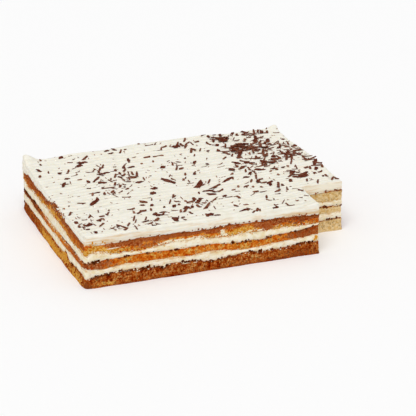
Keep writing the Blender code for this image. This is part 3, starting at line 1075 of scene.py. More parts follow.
def join_copies(name, kinds, places):
    """One mesh of many copies. Each place is the number of a kind and the matrix of its copy."""
    points, faces, start = [], [], 0
    for kind, matrix in places:
        shape_points, shape_faces = kinds[kind]
        turn = np.array(matrix)
        points.append(shape_points @ turn[:3, :3].T + turn[:3, 3])
        faces += [tuple(corner + start for corner in face) for face in shape_faces]
        start += len(shape_points)
    mesh = bpy.data.meshes.new(name)
    mesh.from_pydata(np.concatenate(points), [], faces)
    mesh.update()
    piece = bpy.data.objects.new(name, mesh)
    bpy.context.scene.collection.objects.link(piece)
    return piece


def place_copies(name, kinds, places, material):
    """Join the copies to one finished piece that rides on the slab."""
    piece = join_copies(name, kinds, places)
    face_outwards(piece)
    bpy.ops.object.shade_smooth_by_angle(angle=math.radians(SHARP_EDGE))
    finish_piece(piece, material)


def take_shape(piece):
    """Points and faces of a modelled shape, which is then removed."""
    shape = get_points(piece), [tuple(face.vertices) for face in piece.data.polygons]
    bpy.data.objects.remove(piece, do_unlink=True)
    return shape


def model_sliver(draw, curls, tapers, ragged, slant):
    """A sliver 1 long, 1 wide and 1 thick, cut from a cube at four stations and curled along its length."""
    curl, taper = draw.uniform(*curls), draw.uniform(*tapers)
    deselect_all()
    bpy.ops.mesh.primitive_cube_add(size=1)
    piece = bpy.context.object
    bpy.ops.object.mode_set(mode="EDIT")
    for station in SLIVER_CUTS:
        bpy.ops.mesh.select_all(action="SELECT")
        bpy.ops.mesh.bisect(plane_co=(station, 0, 0), plane_no=(1, 0, 0))
    bpy.ops.object.mode_set(mode="OBJECT")
    points = get_points(piece)
    ends = np.abs(points[:, 0]) * 2
    points[:, 1] *= 1 - taper * ends ** 2
    for station in np.unique(points[:, 0].round(3)):
        here = np.abs(points[:, 0] - station) < 0.01
        points[here, 1] *= 1 + ragged * draw.uniform(-1, 1)
        points[here, 1] += 0.3 * ragged * draw.uniform(-1, 1)
    points[:, 0] += slant * points[:, 1] * draw.uniform(-1, 1)
    points[:, 2] += curl * (ends ** 2 - 0.4)
    set_points(piece, points)
    return take_shape(piece)


def model_crumb(draw):
    """An uneven crumb about 1 across, from an icosphere of twenty faces."""
    deselect_all()
    bpy.ops.mesh.primitive_ico_sphere_add(subdivisions=1, radius=0.5)
    piece = bpy.context.object
    points = get_points(piece)
    for point in points:
        point *= draw.uniform(*CRUMB_UNEVEN)
    set_points(piece, points)
    return take_shape(piece)


def lying(spot, normal, turn, tilt, size):
    """Matrix of a copy that lies on a surface: turned about the normal from X, tilted, scaled to size."""
    side = Vector((1, 0, 0)) if abs(normal.z) > 0.5 else Vector((0, 0, 1))
    side = (side - normal * side.dot(normal)).normalized()
    lie = Matrix((side, normal.cross(side), normal)).transposed().to_4x4()
    spin = Matrix.Rotation(turn, 4, "Z") @ Matrix.Rotation(tilt, 4, "Y")
    return Matrix.Translation(spot) @ lie @ spin @ Matrix.Diagonal((*size, 1.0))


# Where the chocolate lies thickest, measured from the slab's middle. pile: how high it is heaped.
Cluster = namedtuple("Cluster", "x y reach_x reach_y weight pile")
CLUSTERS = tuple(
    Cluster(x * MM, y * MM, rx * MM, ry * MM, weight, pile * MM)
    for x, y, rx, ry, weight, pile in (
        (113, 80, 20, 17, 7.5, 3.0), (120, 60, 24, 20, 3.0, 2.0), (95, 120, 16, 12, 3.0, 2.0),
        (150, 125, 26, 20, 1.8, 0.8), (162, 30, 20, 20, 3.2, 1.5), (122, 20, 16, 14, 2.4, 1.0),
        (148, -38, 16, 14, 3.2, 1.2), (160, 80, 26, 30, 1.8, 0.8), (33, 118, 13, 12, 2.0, 0.8),
        (-80, 30, 28, 28, 1.2, 0.3), (-72, -106, 14, 12, 1.6, 0.5), (-24, -88, 18, 20, 2.2, 0.6),
        (-98, -128, 12, 14, 2.2, 0.3), (-168, -112, 22, 18, 1.8, 0.2), (-130, -128, 16, 14, 1.2, 0.0),
        (-115, -20, 22, 24, 0.9, 0.0), (5, -30, 18, 20, 1.2, 0.5),
    )
)
EVEN_WEIGHT = 0.35          # how thickly it lies away from the clusters
MOST_WEIGHT = 9.0
BARE_FRONT = 3 * MM
BARE_CUT = 4 * MM
BARE_PEAK = 12 * MM


def thickness_of_scatter(x, y):
    """How thickly the chocolate lies at a place, as a weight and the height of its pile."""
    weight, pile = EVEN_WEIGHT, 0.0
    for cluster in CLUSTERS:
        near = fade(x - cluster.x, cluster.reach_x) * fade(y - cluster.y, cluster.reach_y)
        weight += cluster.weight * near
        pile += cluster.pile * near
    weight *= smooth_step(BARE_FRONT, 2.5 * BARE_FRONT, y - FRONT)
    in_cut = x > NOTCH_X - BARE_CUT and y < NOTCH_Y + BARE_CUT
    on_peak = abs(x) > RIGHT - BARE_PEAK and y > BACK - BARE_PEAK
    return (0.0 if in_cut or on_peak else float(weight)), float(pile)


def draw_place(draw, margin):
    """A random place on the top, drawn by how thickly the chocolate lies, and how high it lies there."""
    while True:
        x = draw.uniform(LEFT + margin, RIGHT - margin)
        y = draw.uniform(FRONT + margin, BACK - margin)
        weight, pile = thickness_of_scatter(x, y)
        if draw.uniform(0, MOST_WEIGHT) < weight:
            return x, y, draw.uniform(0, pile)


# Pieces of chocolate told apart in the heaps and fields, by area. Each row holds its place in mm from the
# slab's middle, its length and width in mm, and its turn in degrees.
PLACED_CHOCOLATE = (
    # back left
    (-165, 135, 5.5, 2.8, 80), (-136, 135, 6, 4, 15), (-106, 119, 13, 2.8, 48), (-114, 105, 11, 6, 12),
    (-121, 97, 9, 5.5, 35), (-130, 91, 7, 1.8, 35), (-177, 97, 9, 3.6, -65), (-182, 77, 6, 3, 70),
    (-167, 88, 8, 1.8, 78), (-154, 80, 5, 4, 60), (-142, 80, 8, 2.6, 55), (-93, 80, 11, 2.6, 62),
    (-99, 73, 7, 2.8, 62), (-104, 62, 8, 2.6, 70), (-77, 76, 5, 3.4, 55), (-66, 70, 8, 3.4, 60),
    (-69, 58, 9, 2.8, 58), (-81, 60, 7, 3, 78), (-68, 123, 7, 5, 5), (-69, 136, 6, 3.5, 20),
    (-150, 56, 6, 5.5, 50), (-100, 53, 15, 4.2, 18), (-58, 134, 9, 3.6, -62), (-53, 124, 10, 2.2, 60),
    # left
    (-161, 36, 13, 3.4, 68), (-136, 46, 5, 2.6, 0), (-127, 35, 5, 3.4, 95), (-115, 38, 15, 4, 45),
    (-111, 24, 10, 4, -28), (-109, 4, 16, 2.8, 8), (-97, 13, 9, 2.2, 68), (-88, 40, 11, 2.6, 65),
    (-79, 47, 6, 2.6, 90), (-76, 41, 8, 3, 45), (-83, 35, 6, 3.4, -55), (-81, 24, 5, 2.6, 85),
    (-77, 18, 6, 5.5, 60), (-67, 31, 11, 3, -10), (-63, 42, 7, 2.6, 85), (-64, 12, 8, 5.5, 0),
    (-86, 8, 6, 2.4, -75), (-93, 3, 7, 2.6, 58), (-134, 11, 5, 4, -30), (-130, -8, 9, 4.4, -28),
    (-136, -12, 5, 2.8, 60), (-121, -17, 6, 3, 78), (-109, -13, 7, 3.2, 45), (-99, -17, 7, 2, 35),
    (-87, -8, 6, 2.4, 38), (-141, -37, 18, 5, 42), (-158, -35, 9, 2.4, -15), (-98, -38, 10, 2.2, -8),
    # front left
    (-183, -67, 9, 2.2, 62), (-162, -83, 8, 2.1, 60), (-136, -79, 16, 1.9, 65), (-147, -87, 6, 2.2, 0),
    (-184, -97, 5, 4, 80), (-184, -111, 6, 2.8, 85), (-177, -108, 5.5, 2.4, 85), (-170, -108, 9, 4, 42),
    (-153, -97, 8.5, 3, 33), (-148, -97, 5, 2.6, 95), (-155, -112, 8.5, 2.6, 48), (-176, -122, 5.5, 3.4, 65),
    (-170, -134, 4, 3.4, 70), (-137, -123, 6.5, 3.4, 82), (-124, -125, 12, 2.2, 62), (-132, -138, 6, 2.8, 33),
    (-112, -110, 13, 2, 66), (-106, -80, 9, 2.2, 0), (-106, -92, 5, 3, 80), (-99, -94, 11, 3.2, 45),
    (-93, -90, 8, 2.4, 5), (-87, -70, 5.5, 4.4, 80), (-82, -59, 9, 3.2, -18), (-76, -75, 5, 3.4, 40),
    (-82, -89, 6.5, 2.2, 78), (-79, -108, 8, 6, 75), (-72, -107, 11, 2.2, 52), (-70, -101, 7, 4, 15),
    (-82, -104, 6, 3, 30), (-102, -124, 8, 3.6, -10), (-86, -123, 7, 3.2, 36), (-98, -133, 7, 2.8, 15),
    (-95, -140, 5, 4, 60), (-98, -115, 8, 1.8, 62), (-63, -128, 12, 6, 82), (-69, -54, 7, 1.7, 68),
    (-63, -86, 6, 2.2, 68),
    # back middle
    (-20, 143, 4.5, 3, 75), (-8, 132, 11, 2.2, 12), (10, 119, 7, 3, 18), (3, 112, 7, 2.2, 72),
    (26, 114, 9, 5, 20), (31, 122, 9, 2.2, 60), (35, 116, 6, 3, -62), (39, 111, 14, 2.6, 62),
    (45, 132, 12, 2.8, 62), (46, 121, 6, 2.4, 30), (59, 120, 6, 3, 15), (41, 94, 11, 3, 65),
    (45, 97, 9, 3.2, -68), (40, 79, 8, 1.8, 63), (54, 93, 9, 1.8, 60), (63, 86, 4.5, 3.4, 60),
    (-52, 92, 10, 4, 82), (-57, 66, 9, 5, 10), (-39, 74, 4.4, 3, 80), (-22, 75, 5.5, 2.4, 72),
    (-25, 92, 8, 3, 0), (-12, 92, 9, 3, 22), (-4, 93, 5, 3, 0), (24, 73, 6, 2.4, 66), (10, 61, 7, 3.4, -64),
    (-17, 48, 6.5, 5, 60), (-1, 54, 6, 2.2, 78), (28, 48, 10, 3.6, 56),
    # middle
    (-57, 40, 10, 2, 78), (-54, 20, 9, 1.8, 84), (-27, -1, 24, 7.4, -66), (-19, 2, 11, 1.9, -80),
    (-1, 38, 10, 2.6, 63), (5, 36, 6, 2.6, 10), (4, 46, 7, 2, 28), (17, 16, 12, 3.4, 56), (3, 15, 7, 2.2, 68),
    (-1, 3, 8, 1.6, 62), (-7, -5, 5, 3.2, 65), (3, -32, 23, 5.4, 45), (-3, -21, 8, 2, 0),
    (23, -22, 11, 2.2, 58), (26, -41, 16, 2.8, 36), (48, -26, 17, 3.4, 32), (56, -24, 6.5, 2.4, 84),
    (61, -9, 5, 2.8, 36), (66, 10, 16, 5, -66), (38, 34, 7, 2, 0), (-54, -20, 7, 5.4, 10),
    (-60, -34, 7, 5, -10),
    # front middle
    (10, -50, 13, 4, -22), (16, -55, 8, 4, -66), (11, -65, 11, 4.8, -14), (26, -56, 9, 3, 28),
    (-39, -54, 10, 2.3, 70), (-50, -72, 11, 2, 63), (-50, -88, 6, 3.8, 72), (-54, -101, 8, 2.2, 0),
    (-31, -78, 4.5, 3, 85), (-27, -83, 8, 2.2, 0), (-18, -75, 5, 4, 70), (-9, -76, 5.5, 3.4, -66),
    (-15, -84, 10, 4, 56), (-18, -88, 6, 3, 20), (-10, -91, 5, 2.8, 10), (-37, -99, 8, 5.4, 40),
    (-42, -107, 9, 2.6, 48), (-34, -102, 5, 2.6, 85), (-29, -98, 4.6, 4, 70), (-21, -100, 7, 3, -74),
    (-14, -107, 22, 2.6, 46), (-48, -107, 5.5, 2.8, 78), (-38, -117, 7, 2.4, -78), (-52, -126, 4.4, 3.4, 70),
    (-22, -132, 7, 2.6, 88), (-17, -130, 8, 5, -20), (-9, -135, 7, 4, -10), (30, -131, 12, 5.6, 0),
    (25, -113, 7.5, 3, -77), (38, -115, 5, 2.6, 0), (38, -90, 6.5, 2.8, -73), (23, -79, 5.5, 4, 10),
    (27, -84, 8, 2.6, -18), (43, -60, 5, 3, 0), (53, -52, 5.5, 3, 80), (61, -56, 7, 2.2, 43),
    (38, -146, 6, 2.2, 45),
    # back right
    (114, 92, 13, 4, 8), (120, 95, 12, 3.4, -6), (105, 93, 10, 3.2, 20), (103, 75, 13, 3.4, 6),
    (113, 71, 14, 3, -8), (97, 74, 10, 3.6, 15), (121, 75, 12, 2.8, 12), (129, 80, 13, 2.6, 82),
    (141, 84, 18, 3, 76), (134, 92, 12, 2.6, 25), (98, 85, 5.5, 4.4, 60), (100, 59, 15, 4.2, 60),
    (113, 55, 5, 2.6, 76), (120, 59, 10, 2.6, 76), (129, 63, 9, 5, 30), (134, 57, 11, 2.6, 63),
    (91, 115, 12, 2.8, 74), (97, 113, 8, 6.5, 30), (101, 114, 11, 2.8, 68), (105, 121, 6, 4.6, 50),
    (82, 115, 7.5, 3.4, 72), (100, 134, 9, 3.4, 78), (93, 140, 5, 3.4, 60), (81, 132, 7, 3.4, 68),
    (119, 136, 10, 3.4, 58), (124, 131, 7, 2.8, 62), (133, 127, 5.5, 4, 60), (138, 136, 10, 5, -58),
    (145, 112, 10, 4, 73), (151, 131, 15, 2.8, 74), (163, 132, 19, 4, 60), (159, 136, 6, 2.4, 70),
    (170, 128, 6, 3, 70), (72, 108, 8, 3, -63), (83, 102, 5, 4, 60), (93, 96, 9, 2.3, 67),
    (77, 83, 5.5, 4, 60), (83, 66, 10, 3, -46), (74, 51, 8, 2.4, 43), (88, 58, 6.5, 2.2, 58),
    (127, 108, 5, 3, 62), (136, 114, 6, 3, 0), (140, 101, 5.5, 3.8, 60), (158, 98, 9, 4, 58),
    (149, 88, 7, 3.6, 66), (154, 84, 6, 4, 40), (157, 76, 7, 3.6, 30), (145, 69, 8, 3, 56),
    (149, 63, 7, 2.2, 10), (146, 96, 9, 2.4, 58), (166, 72, 12, 2.6, 70), (160, 62, 9, 3.8, 36),
    (174, 77, 5, 3.6, 20), (179, 73, 7, 2.8, 78), (170, 62, 5.5, 2.4, 72), (182, 98, 5, 3.8, 40),
    (183, 61, 7, 4, 30), (173, 49, 4.4, 3.2, 60),
    # right
    (83, 31, 12, 3.4, -52), (79, 15, 13, 2.8, 92), (84, 11, 6, 2.8, 10), (88, 15, 8, 4.4, 10),
    (97, 28, 7, 5, 30), (103, 25, 9, 3.4, -36), (117, 40, 9, 2.6, 76), (95, 49, 7, 2.8, 10),
    (120, 21, 9, 4.6, -30), (126, 14, 10, 5, -35), (112, 8, 13, 3, 14), (115, 14, 9, 2.4, 67),
    (133, 14, 8, 2.4, 62), (129, 42, 10, 2.6, 80), (133, 42, 10, 3, 57), (140, 34, 7, 5.4, 60),
    (145, 29, 8, 2.4, -78), (125, 31, 9, 1.8, 52), (155, 39, 7, 2.6, 72), (161, 35, 15, 3.4, 46),
    (154, 20, 11, 3, 63), (161, 21, 12, 3.6, 24), (151, 15, 10, 2.6, 66), (158, 12, 11, 2.4, 62),
    (152, 0, 10, 2.2, 60), (170, 32, 11, 2.4, 72), (173, 37, 6, 2.6, 80), (176, 26, 9, 2.4, 78),
    (175, 11, 13, 2.4, 84), (172, 1, 6, 2.6, 10), (83, -4, 7, 2.4, 72), (91, 3, 12, 2.4, 84),
    (93, -10, 8, 2.4, 76), (84, -17, 10, 3.8, 56), (89, -26, 20, 2.4, 70), (75, -26, 6.5, 4.6, -36),
    (76, -41, 8, 2.4, 60), (85, -45, 7, 5, 70), (103, -5, 12, 4.6, -33), (123, -9, 11, 4.4, 8),
    (124, -14, 6, 3.2, 80), (135, -11, 6, 4, 60), (142, -11, 5, 3, 78), (114, -18, 4.6, 3, 60),
    (119, -32, 5, 3, 78), (140, -31, 8, 6, 60), (131, -42, 15, 2.6, 38), (152, -41, 12, 4.4, 20),
    (150, -49, 9, 5, 40), (140, -49, 10, 3.8, -10), (168, -27, 6, 3, 74), (163, -25, 6, 2.8, 20),
    (181, -14, 17, 3.8, 62), (175, -31, 9, 4, 58), (186, -27, 7, 2.8, 75), (176, -42, 6, 2.4, 10),
    (166, -45, 6, 2.2, 78),
    # front right
    (90, -51, 8, 3, 10), (98, -52, 9, 3.6, 18), (95, -61, 5, 3.4, 56), (70, -62, 5, 3, 82),
    (80, -67, 6, 2.8, 82), (76, -83, 10, 3.4, 14), (66, -81, 7, 2.6, 8), (64, -56, 7, 2.2, 43),
    (104, -67, 21, 3.2, 67), (110, -68, 4.6, 3.4, 70), (110, -83, 9.5, 2.4, 74), (95, -86, 8, 2.4, 18),
    (91, -96, 6, 2.8, 0), (126, -57, 6, 4, 68), (124, -95, 7, 3.2, -68), (146, -66, 8, 2.4, 68),
    (157, -80, 10, 2.3, 63), (178, -58, 8, 2.6, 84), (181, -71, 14, 2.6, 55), (186, -71, 11, 3, 100),
    (72, -103, 6, 2.6, 70), (107, -123, 5, 2.6, 50), (88, -134, 7, 2.4, -78), (92, -139, 7, 3, 8),
    (47, -144, 6.5, 2, 68), (69, -140, 7.5, 4.6, 10), (44, -139, 7, 2.8, 56),
)
# Heaps of long sticks: place and reach, number of sticks and height of the pile.
Heap = namedtuple("Heap", "x y reach_x reach_y number pile")
HEAPS = tuple(
    Heap(x * MM, y * MM, reach_x * MM, reach_y * MM, number, pile * MM)
    for x, y, reach_x, reach_y, number, pile in (
        (105, 88, 10, 8, 8, 3.0), (118, 78, 14, 6, 11, 2.5), (136, 76, 6, 12, 3, 1.5),
        (95, 122, 8, 4, 6, 1.5), (126, 18, 9, 5, 5, 1.0), (148, -38, 10, 6, 4, 1.0), (166, 30, 7, 12, 6, 1.2),
        (182, -8, 5, 14, 6, 0.8), (150, 98, 16, 18, 9, 0.6), (112, 38, 24, 14, 8, 0.4),
    )
)
HEAP_TURN = -16         # degrees about which a heap's sticks lie
HEAP_TURN_SPREAD = 15
BROAD = 3.3             # a told-apart piece at least this broad, in mm, is a flat flake and not a stick
SMALL = 6               # a thin piece shorter than this, in mm, is a pale chip
LONGER = 1.15           # the slivers' ends taper, so each is made longer and broader than it looks
BROADER = 1.2
FLAKE_THICKNESS = 0.6
STICK_THICKNESS = 0.3   # as a share of the stick's breadth
TOLD_TILT = 0.07        # how far told-apart pieces tilt, in radians
SUNK = 0.4              # share of a piece's thickness between its middle and what it rests on
REST = 0.4              # a piece rests on what is highest within this share of its size
STEEPEST = 0.35
EDGE_ROOM = 1.2 * MM
# Scattered pieces: spans of length, breadth and thickness in mm, how far they tilt in radians, how far in mm
# they keep from the edges, and the share of a pile's height that they climb.
Loose = namedtuple("Loose", "long broad thick tilt margin climb", defaults=(0, 0.0))
HEAPED_STICK = Loose((7, 17), (1.6, 3.0), 0.8, 0.1)
LOOSE_STICK = Loose((4, 12), (1.0, 2.0), (0.4, 0.7), 0.14, 4, 1.0)
LOOSE_FLAKE = Loose((2.5, 5.5), (2.0, 3.4), (0.5, 0.7), 0.25, 4, 1.0)
LOOSE_BIT = Loose((1.4, 3.8), (0.8, 1.4), 0.4, 0.1, 3)
# Slivers: how many are modelled, spans of curl and taper, how ragged and how slanting they are.
Sliver = namedtuple("Sliver", "number curls tapers ragged slant")
FLAT_SLIVER = Sliver(12, (-0.4, 0.6), (0.0, 0.4), 0.34, 0.3)
THIN_SLIVER = Sliver(8, (-0.7, 1.3), (0.1, 0.4), 0.16, 0.1)


def draw_size(draw, loose):
    """Length, breadth and thickness drawn from their spans, where they have one."""
    spans = (loose.long, loose.broad, loose.thick)
    return tuple((draw.uniform(*span) if isinstance(span, tuple) else span) * MM for span in spans)


def model_slivers(draw, sliver):
    return [model_sliver(draw, *sliver[1:]) for _ in range(sliver.number)]


def rest_on(tree, x, y, size, turn):
    """Place and normal of a piece that rests on the highest points under it."""
    middle = drop_on(tree, x, y)
    if middle is None:
        return None, None
    along = Vector((math.cos(turn), math.sin(turn)))
    across = Vector((-along.y, along.x))
    reach, width = REST * size[0], REST * size[1]
    offsets = ((0, 0), (-reach, 0), (reach, 0), (0, -width), (0, width))
    heights = []
    for forward, sideways in offsets:
        spot = drop_on(tree, *(Vector((x, y)) + along * forward + across * sideways))
        heights.append(middle.z if spot is None else spot.z)
    slopes = (heights[2] - heights[1]) / (2 * reach), (heights[4] - heights[3]) / (2 * width)
    slopes = np.clip(slopes, -STEEPEST, STEEPEST)
    rise = max(height - slopes @ offset for height, offset in zip(heights, offsets))
    slope = along * slopes[0] + across * slopes[1]
    return Vector((x, y, rise)), Vector((-slope.x, -slope.y, 1)).normalized()


def keep_on_top(x, y, long, turn):
    """Centre of a piece, moved in where one of its ends would hang over an edge of the top."""
    reach_x = 0.5 * long * abs(math.cos(turn)) + EDGE_ROOM
    reach_y = 0.5 * long * abs(math.sin(turn)) + EDGE_ROOM
    x = min(max(x, LEFT + reach_x), RIGHT - reach_x)
    y = min(max(y, FRONT + reach_y), BACK - reach_y)
    if x + reach_x > NOTCH_X and y - reach_y < NOTCH_Y:
        if x - NOTCH_X > y - NOTCH_Y:
            y = NOTCH_Y + reach_y
        else:
            x = NOTCH_X - reach_x
    return x, y


def make_chocolate(sizes, colours):
    """Sticks, flakes and bits of dark chocolate scattered on the combed cream."""
    draw = random.Random(CHOCOLATE_SEED)
    tree = surface_of(LAYERS[LAYER_INDEX["top_cream"]].piece)
    flat, thin = model_slivers(draw, FLAT_SLIVER), model_slivers(draw, THIN_SLIVER)
    flakes, sticks, chips, bits = [], [], [], []

    def add(places, kinds, x, y, size, turn, tilt, lift):
        x, y = keep_on_top(x, y, size[0], turn)
        spot, normal = rest_on(tree, x, y, size, turn)
        if spot is None:
            return
        spot = spot + normal * (SUNK * size[2] + lift)
        places.append((draw.randrange(len(kinds)), lying(spot, normal, turn, tilt, size)))

    for x, y, long, broad, turn in PLACED_CHOCOLATE:
        places, kinds, thick, broader = sticks, thin, STICK_THICKNESS * broad, BROADER
        if broad >= BROAD:
            places, kinds, thick = flakes, flat, FLAKE_THICKNESS
        elif long < SMALL:
            places, kinds, broader = chips, flat, 1.0
        size = (LONGER * long * MM, broader * broad * MM, thick * MM)
        lift = draw.uniform(0, thickness_of_scatter(x * MM, y * MM)[1])
        add(places, kinds, x * MM, y * MM, size, math.radians(turn), draw.gauss(0, TOLD_TILT), lift)
    for heap in HEAPS:
        for _ in range(heap.number):
            x, y = draw.gauss(heap.x, heap.reach_x), draw.gauss(heap.y, heap.reach_y)
            size = draw_size(draw, HEAPED_STICK)
            turn = math.radians(draw.gauss(HEAP_TURN, HEAP_TURN_SPREAD))
            tilt = draw.gauss(0, HEAPED_STICK.tilt)
            add(sticks, thin, x, y, size, turn, tilt, draw.uniform(0, heap.pile))
    for places, kinds, loose, number in (
        (sticks, thin, LOOSE_STICK, sizes.stick_count),
        (flakes, flat, LOOSE_FLAKE, sizes.flake_count),
        (bits, thin, LOOSE_BIT, sizes.bit_count),
    ):
        for _ in range(number):
            x, y, lift = draw_place(draw, loose.margin * MM)
            size = draw_size(draw, loose)
            turn = draw.uniform(0, math.tau)
            add(places, kinds, x, y, size, turn, draw.gauss(0, loose.tilt), loose.climb * lift)
    for name, kinds, places, shade in (
        ("chocolate_flakes", flat, flakes, colours.chocolate),
        ("chocolate_sticks", thin, sticks, colours.shavings),
        ("chocolate_chips", flat, chips, deepen(colours.shavings, 0.75)),
        ("chocolate_bits", thin, bits, deepen(colours.shavings, 0.66)),
    ):
        material = patchy_material(name, CHOCOLATE_FINISH, deepen(shade, 1.15), deepen(shade, 0.85))
        place_copies(name, kinds, places, material)


# ------------------------------------------------------------------ crumbs and smears
# Golden crumbs strayed into a cream, above or below the layer's upper edge.
GOLDEN_RUNS = make_runs((
    ("upper_cream", (
        ("front", 0, 45, 1.0, -0.6), ("front", 45, 95, 0.4, -0.6), ("front", 95, 160, 1.0, 2.0),
        ("front", 187, 305, 0.6, -0.8), ("left", 10, 280, 0.4, -0.8),
    )),
    ("top_sponge", (
        ("front", 8, 32, 0.9, 1.2), ("left", 130, 215, 0.6, 2.0),
    )),
    ("middle_sponge", (
        ("front", 195, 255, 0.7, 0.8), ("left", 100, 220, 0.8, 0.6),
    )),
    ("bottom_sponge", (
        ("left", 90, 215, 0.4, 0.6),
    )),
    ("upper_cream", (
        ("back", 0, 382, 0.4, -0.5), ("right", 0, 228, 0.4, -0.5), ("cut_left", 0, 62, 0.3, -0.5),
        ("cut_back", 0, 62, 0.3, -0.5),
    )),
))
CRUMBS_PER_MM = 0.5
# Crumbs that the torn upper edge at the middle of the left wall has left on the cream above it.
TORN_RUNS = make_runs((("top_sponge", (("left", 128, 214, 1.6, 5.0), ("left", 142, 212, 3.0, 8.0))),))
DARK_CRUMB_SIZES = (2.0, 2.8, 3.6, 4.2, 4.8)
BROWN_CRUMB_SIZES = (1.2, 1.8, 2.4, 3.2)
GOLDEN_CRUMB_SIZES = (0.8, 1.1, 1.5, 2.1)
# Crumbs that stand out, by kind and wall: place along it, height, length and breadth in mm.
PLACED_CRUMBS = (
    ("dark", "front", (
        (60, 17.6, 4.2, 2.8), (87, 19.2, 4.6, 3.4), (93, 17.4, 3.4, 2.6), (226, 17.8, 3.6, 2.8),
        (239, 17, 4.6, 3.2), (300, 18.8, 4, 2.4), (194, 14.8, 3.2, 2.4), (212, 16.4, 3.6, 2.6),
        (252, 16.2, 3.6, 2.4), (266, 15.6, 3.8, 2.8), (276, 16.2, 4.4, 3), (288, 17.4, 3.6, 2.6),
        (296, 17.8, 4, 2.8), (305, 18, 3.8, 2.8), (310.5, 18, 4.2, 3), (24, 16, 3.6, 2.6), (38, 17.4, 4, 2.8),
        (49, 17.8, 3.6, 2.8), (68, 17, 4, 3), (78, 17, 3.8, 2.6),
    )),
    ("golden", "front", (
        (315.3, 23.5, 8, 4.8), (313, 20.5, 4, 4), (13, 61, 4.2, 3), (26, 61, 3.6, 2.8), (10, 59, 3, 2.6),
        (29, 59, 3, 2.4),
    )),
    ("golden", "left", (
        (286, 59, 3, 2.4), (156, 61, 5, 3.6), (168, 62, 5, 4), (179, 60.5, 5, 4), (186, 62, 4.6, 3.4),
        (197, 61, 5, 3.6), (204, 61.5, 4, 3),
    )),
    ("brown", "left", (
        (147, 62, 5, 3.6), (153, 64.5, 4.6, 3.2), (159, 66.5, 6, 4), (165, 64, 5, 4), (171, 67, 6, 4.6),
        (177, 67.5, 5, 4), (182, 64, 6, 4.2), (188, 66.5, 5, 3.6), (194, 62.5, 5, 4), (200, 65.5, 4.6, 3.2),
        (206, 67, 4.4, 3), (208, 63, 5, 3.6),
    )),
)
CRUMB_SHAPES = 8
CRUMB_THICKNESS = 0.6       # as a share of its breadth
CRUMB_LENGTHS = (0.9, 1.5)  # span of its length, as shares of its breadth
CRUMB_STRAY = 0.4 * MM      # how far crumbs stray from their line where their run has no lift
BUNCH_LENGTH = 7 * MM       # crumbs come in bunches of about this length
BUNCHING = (-0.4, 0.2)


def crumb_spots(draw, run, breadths):
    """Where the crumbs of a run lie: wall, place along it, height, length, breadth and turn."""
    spots = []
    for _ in range(int((run.end - run.start) / MM * CRUMBS_PER_MM * run.strength)):
        along = draw.uniform(run.start, run.end)
        if noise.noise(Vector((along / BUNCH_LENGTH, run.start / MM, 0))) < draw.uniform(*BUNCHING):
            continue
        lift = draw.gauss(0.3 * run.lift, CRUMB_STRAY + 0.6 * abs(run.lift))
        z = edge_height(WALL[run.wall], along, run.layer) + lift
        broad = draw.choice(breadths) * MM
        long = broad * draw.uniform(*CRUMB_LENGTHS)
        spots.append((run.wall, along, z, long, broad, draw.uniform(0, math.tau)))
    return spots


def make_crumbs(colours):
    """Dark and brown crumbs along the crusts and golden crumbs strayed into the creams."""
    draw = random.Random(CRUMB_SEED)
    trees = layer_surfaces()
    shapes = [model_crumb(draw) for _ in range(CRUMB_SHAPES)]
    dark_runs = [run for run in CRUST_RUNS if run.layer != "top_sponge"]
    brown_runs = [run for run in CRUST_RUNS if run.layer == "top_sponge"] + list(TORN_RUNS)
    for kind, runs, breadths, dark, light in (
        ("dark", dark_runs, DARK_CRUMB_SIZES, deepen(colours.dark, 1.2), deepen(colours.crust, 1.1)),
        ("brown", brown_runs, BROWN_CRUMB_SIZES, deepen(colours.crust, 1.2), deepen(colours.toasted, 0.8)),
        ("golden", GOLDEN_RUNS, GOLDEN_CRUMB_SIZES, deepen(colours.gold, 1.25), deepen(colours.gold, 0.85)),
    ):
        spots = [spot for run in runs for spot in crumb_spots(draw, run, breadths)]
        for look, wall, rows in PLACED_CRUMBS:
            if look == kind:
                spots += [(wall, *(value * MM for value in row), 0.0) for row in rows]
        places = []
        for wall, along, z, long, broad, turn in spots:
            spot, normal = press_on_wall(trees, WALL[wall], along, z)
            if spot is not None:
                size = (long, broad, CRUMB_THICKNESS * broad)
                places.append((draw.randrange(len(shapes)), lying(spot, normal, turn, 0.0, size)))
        name = kind + "_crumbs"
        place_copies(name, shapes, places, patchy_material(name, CRUMB_FINISH, dark, light))


# Smears of cream drawn over a sponge: along the wall, height, length, breadth and slant in mm and degrees.
Smear = namedtuple("Smear", "wall along height long broad slant")
SMEARS = tuple(
    Smear(wall, *row) for wall, rows in (
        ("front", (
            (39, 50, 20, 1.0, 3), (112, 48.5, 12, 2.4, 5), (126, 47.5, 14, 3.4, -3), (141, 47, 12, 3.0, 0),
            (152, 46, 8, 2.4, 8), (189, 46, 6, 3.0, 0), (222, 45.5, 9, 2.4, 5), (236, 45, 8, 2.2, 0),
            (33, 17.5, 3, 3.0, 0), (45, 18, 3, 2.6, 0), (106, 15.5, 3.5, 5.5, 0), (91, 16.5, 2.5, 3.0, 0),
            (70, 16.5, 2.5, 2, 0), (135, 14.5, 12, 0.9, 0), (148, 14, 6, 0.8, 0),
        )),
        ("left", (
            (3, 52, 5, 12, 0), (60, 47, 14, 1.6, 2), (182, 46, 16, 1.8, 0), (120, 48.5, 20, 1.8, 0),
        )),
        ("back", (
            (60, 48, 22, 2.2, 3), (170, 47, 16, 3, -4), (290, 49, 20, 2.4, 2),
        )),
        ("right", (
            (60, 47, 18, 2.4, 0), (150, 49, 20, 2.2, 4),
        )),
    )
    for row in rows
)
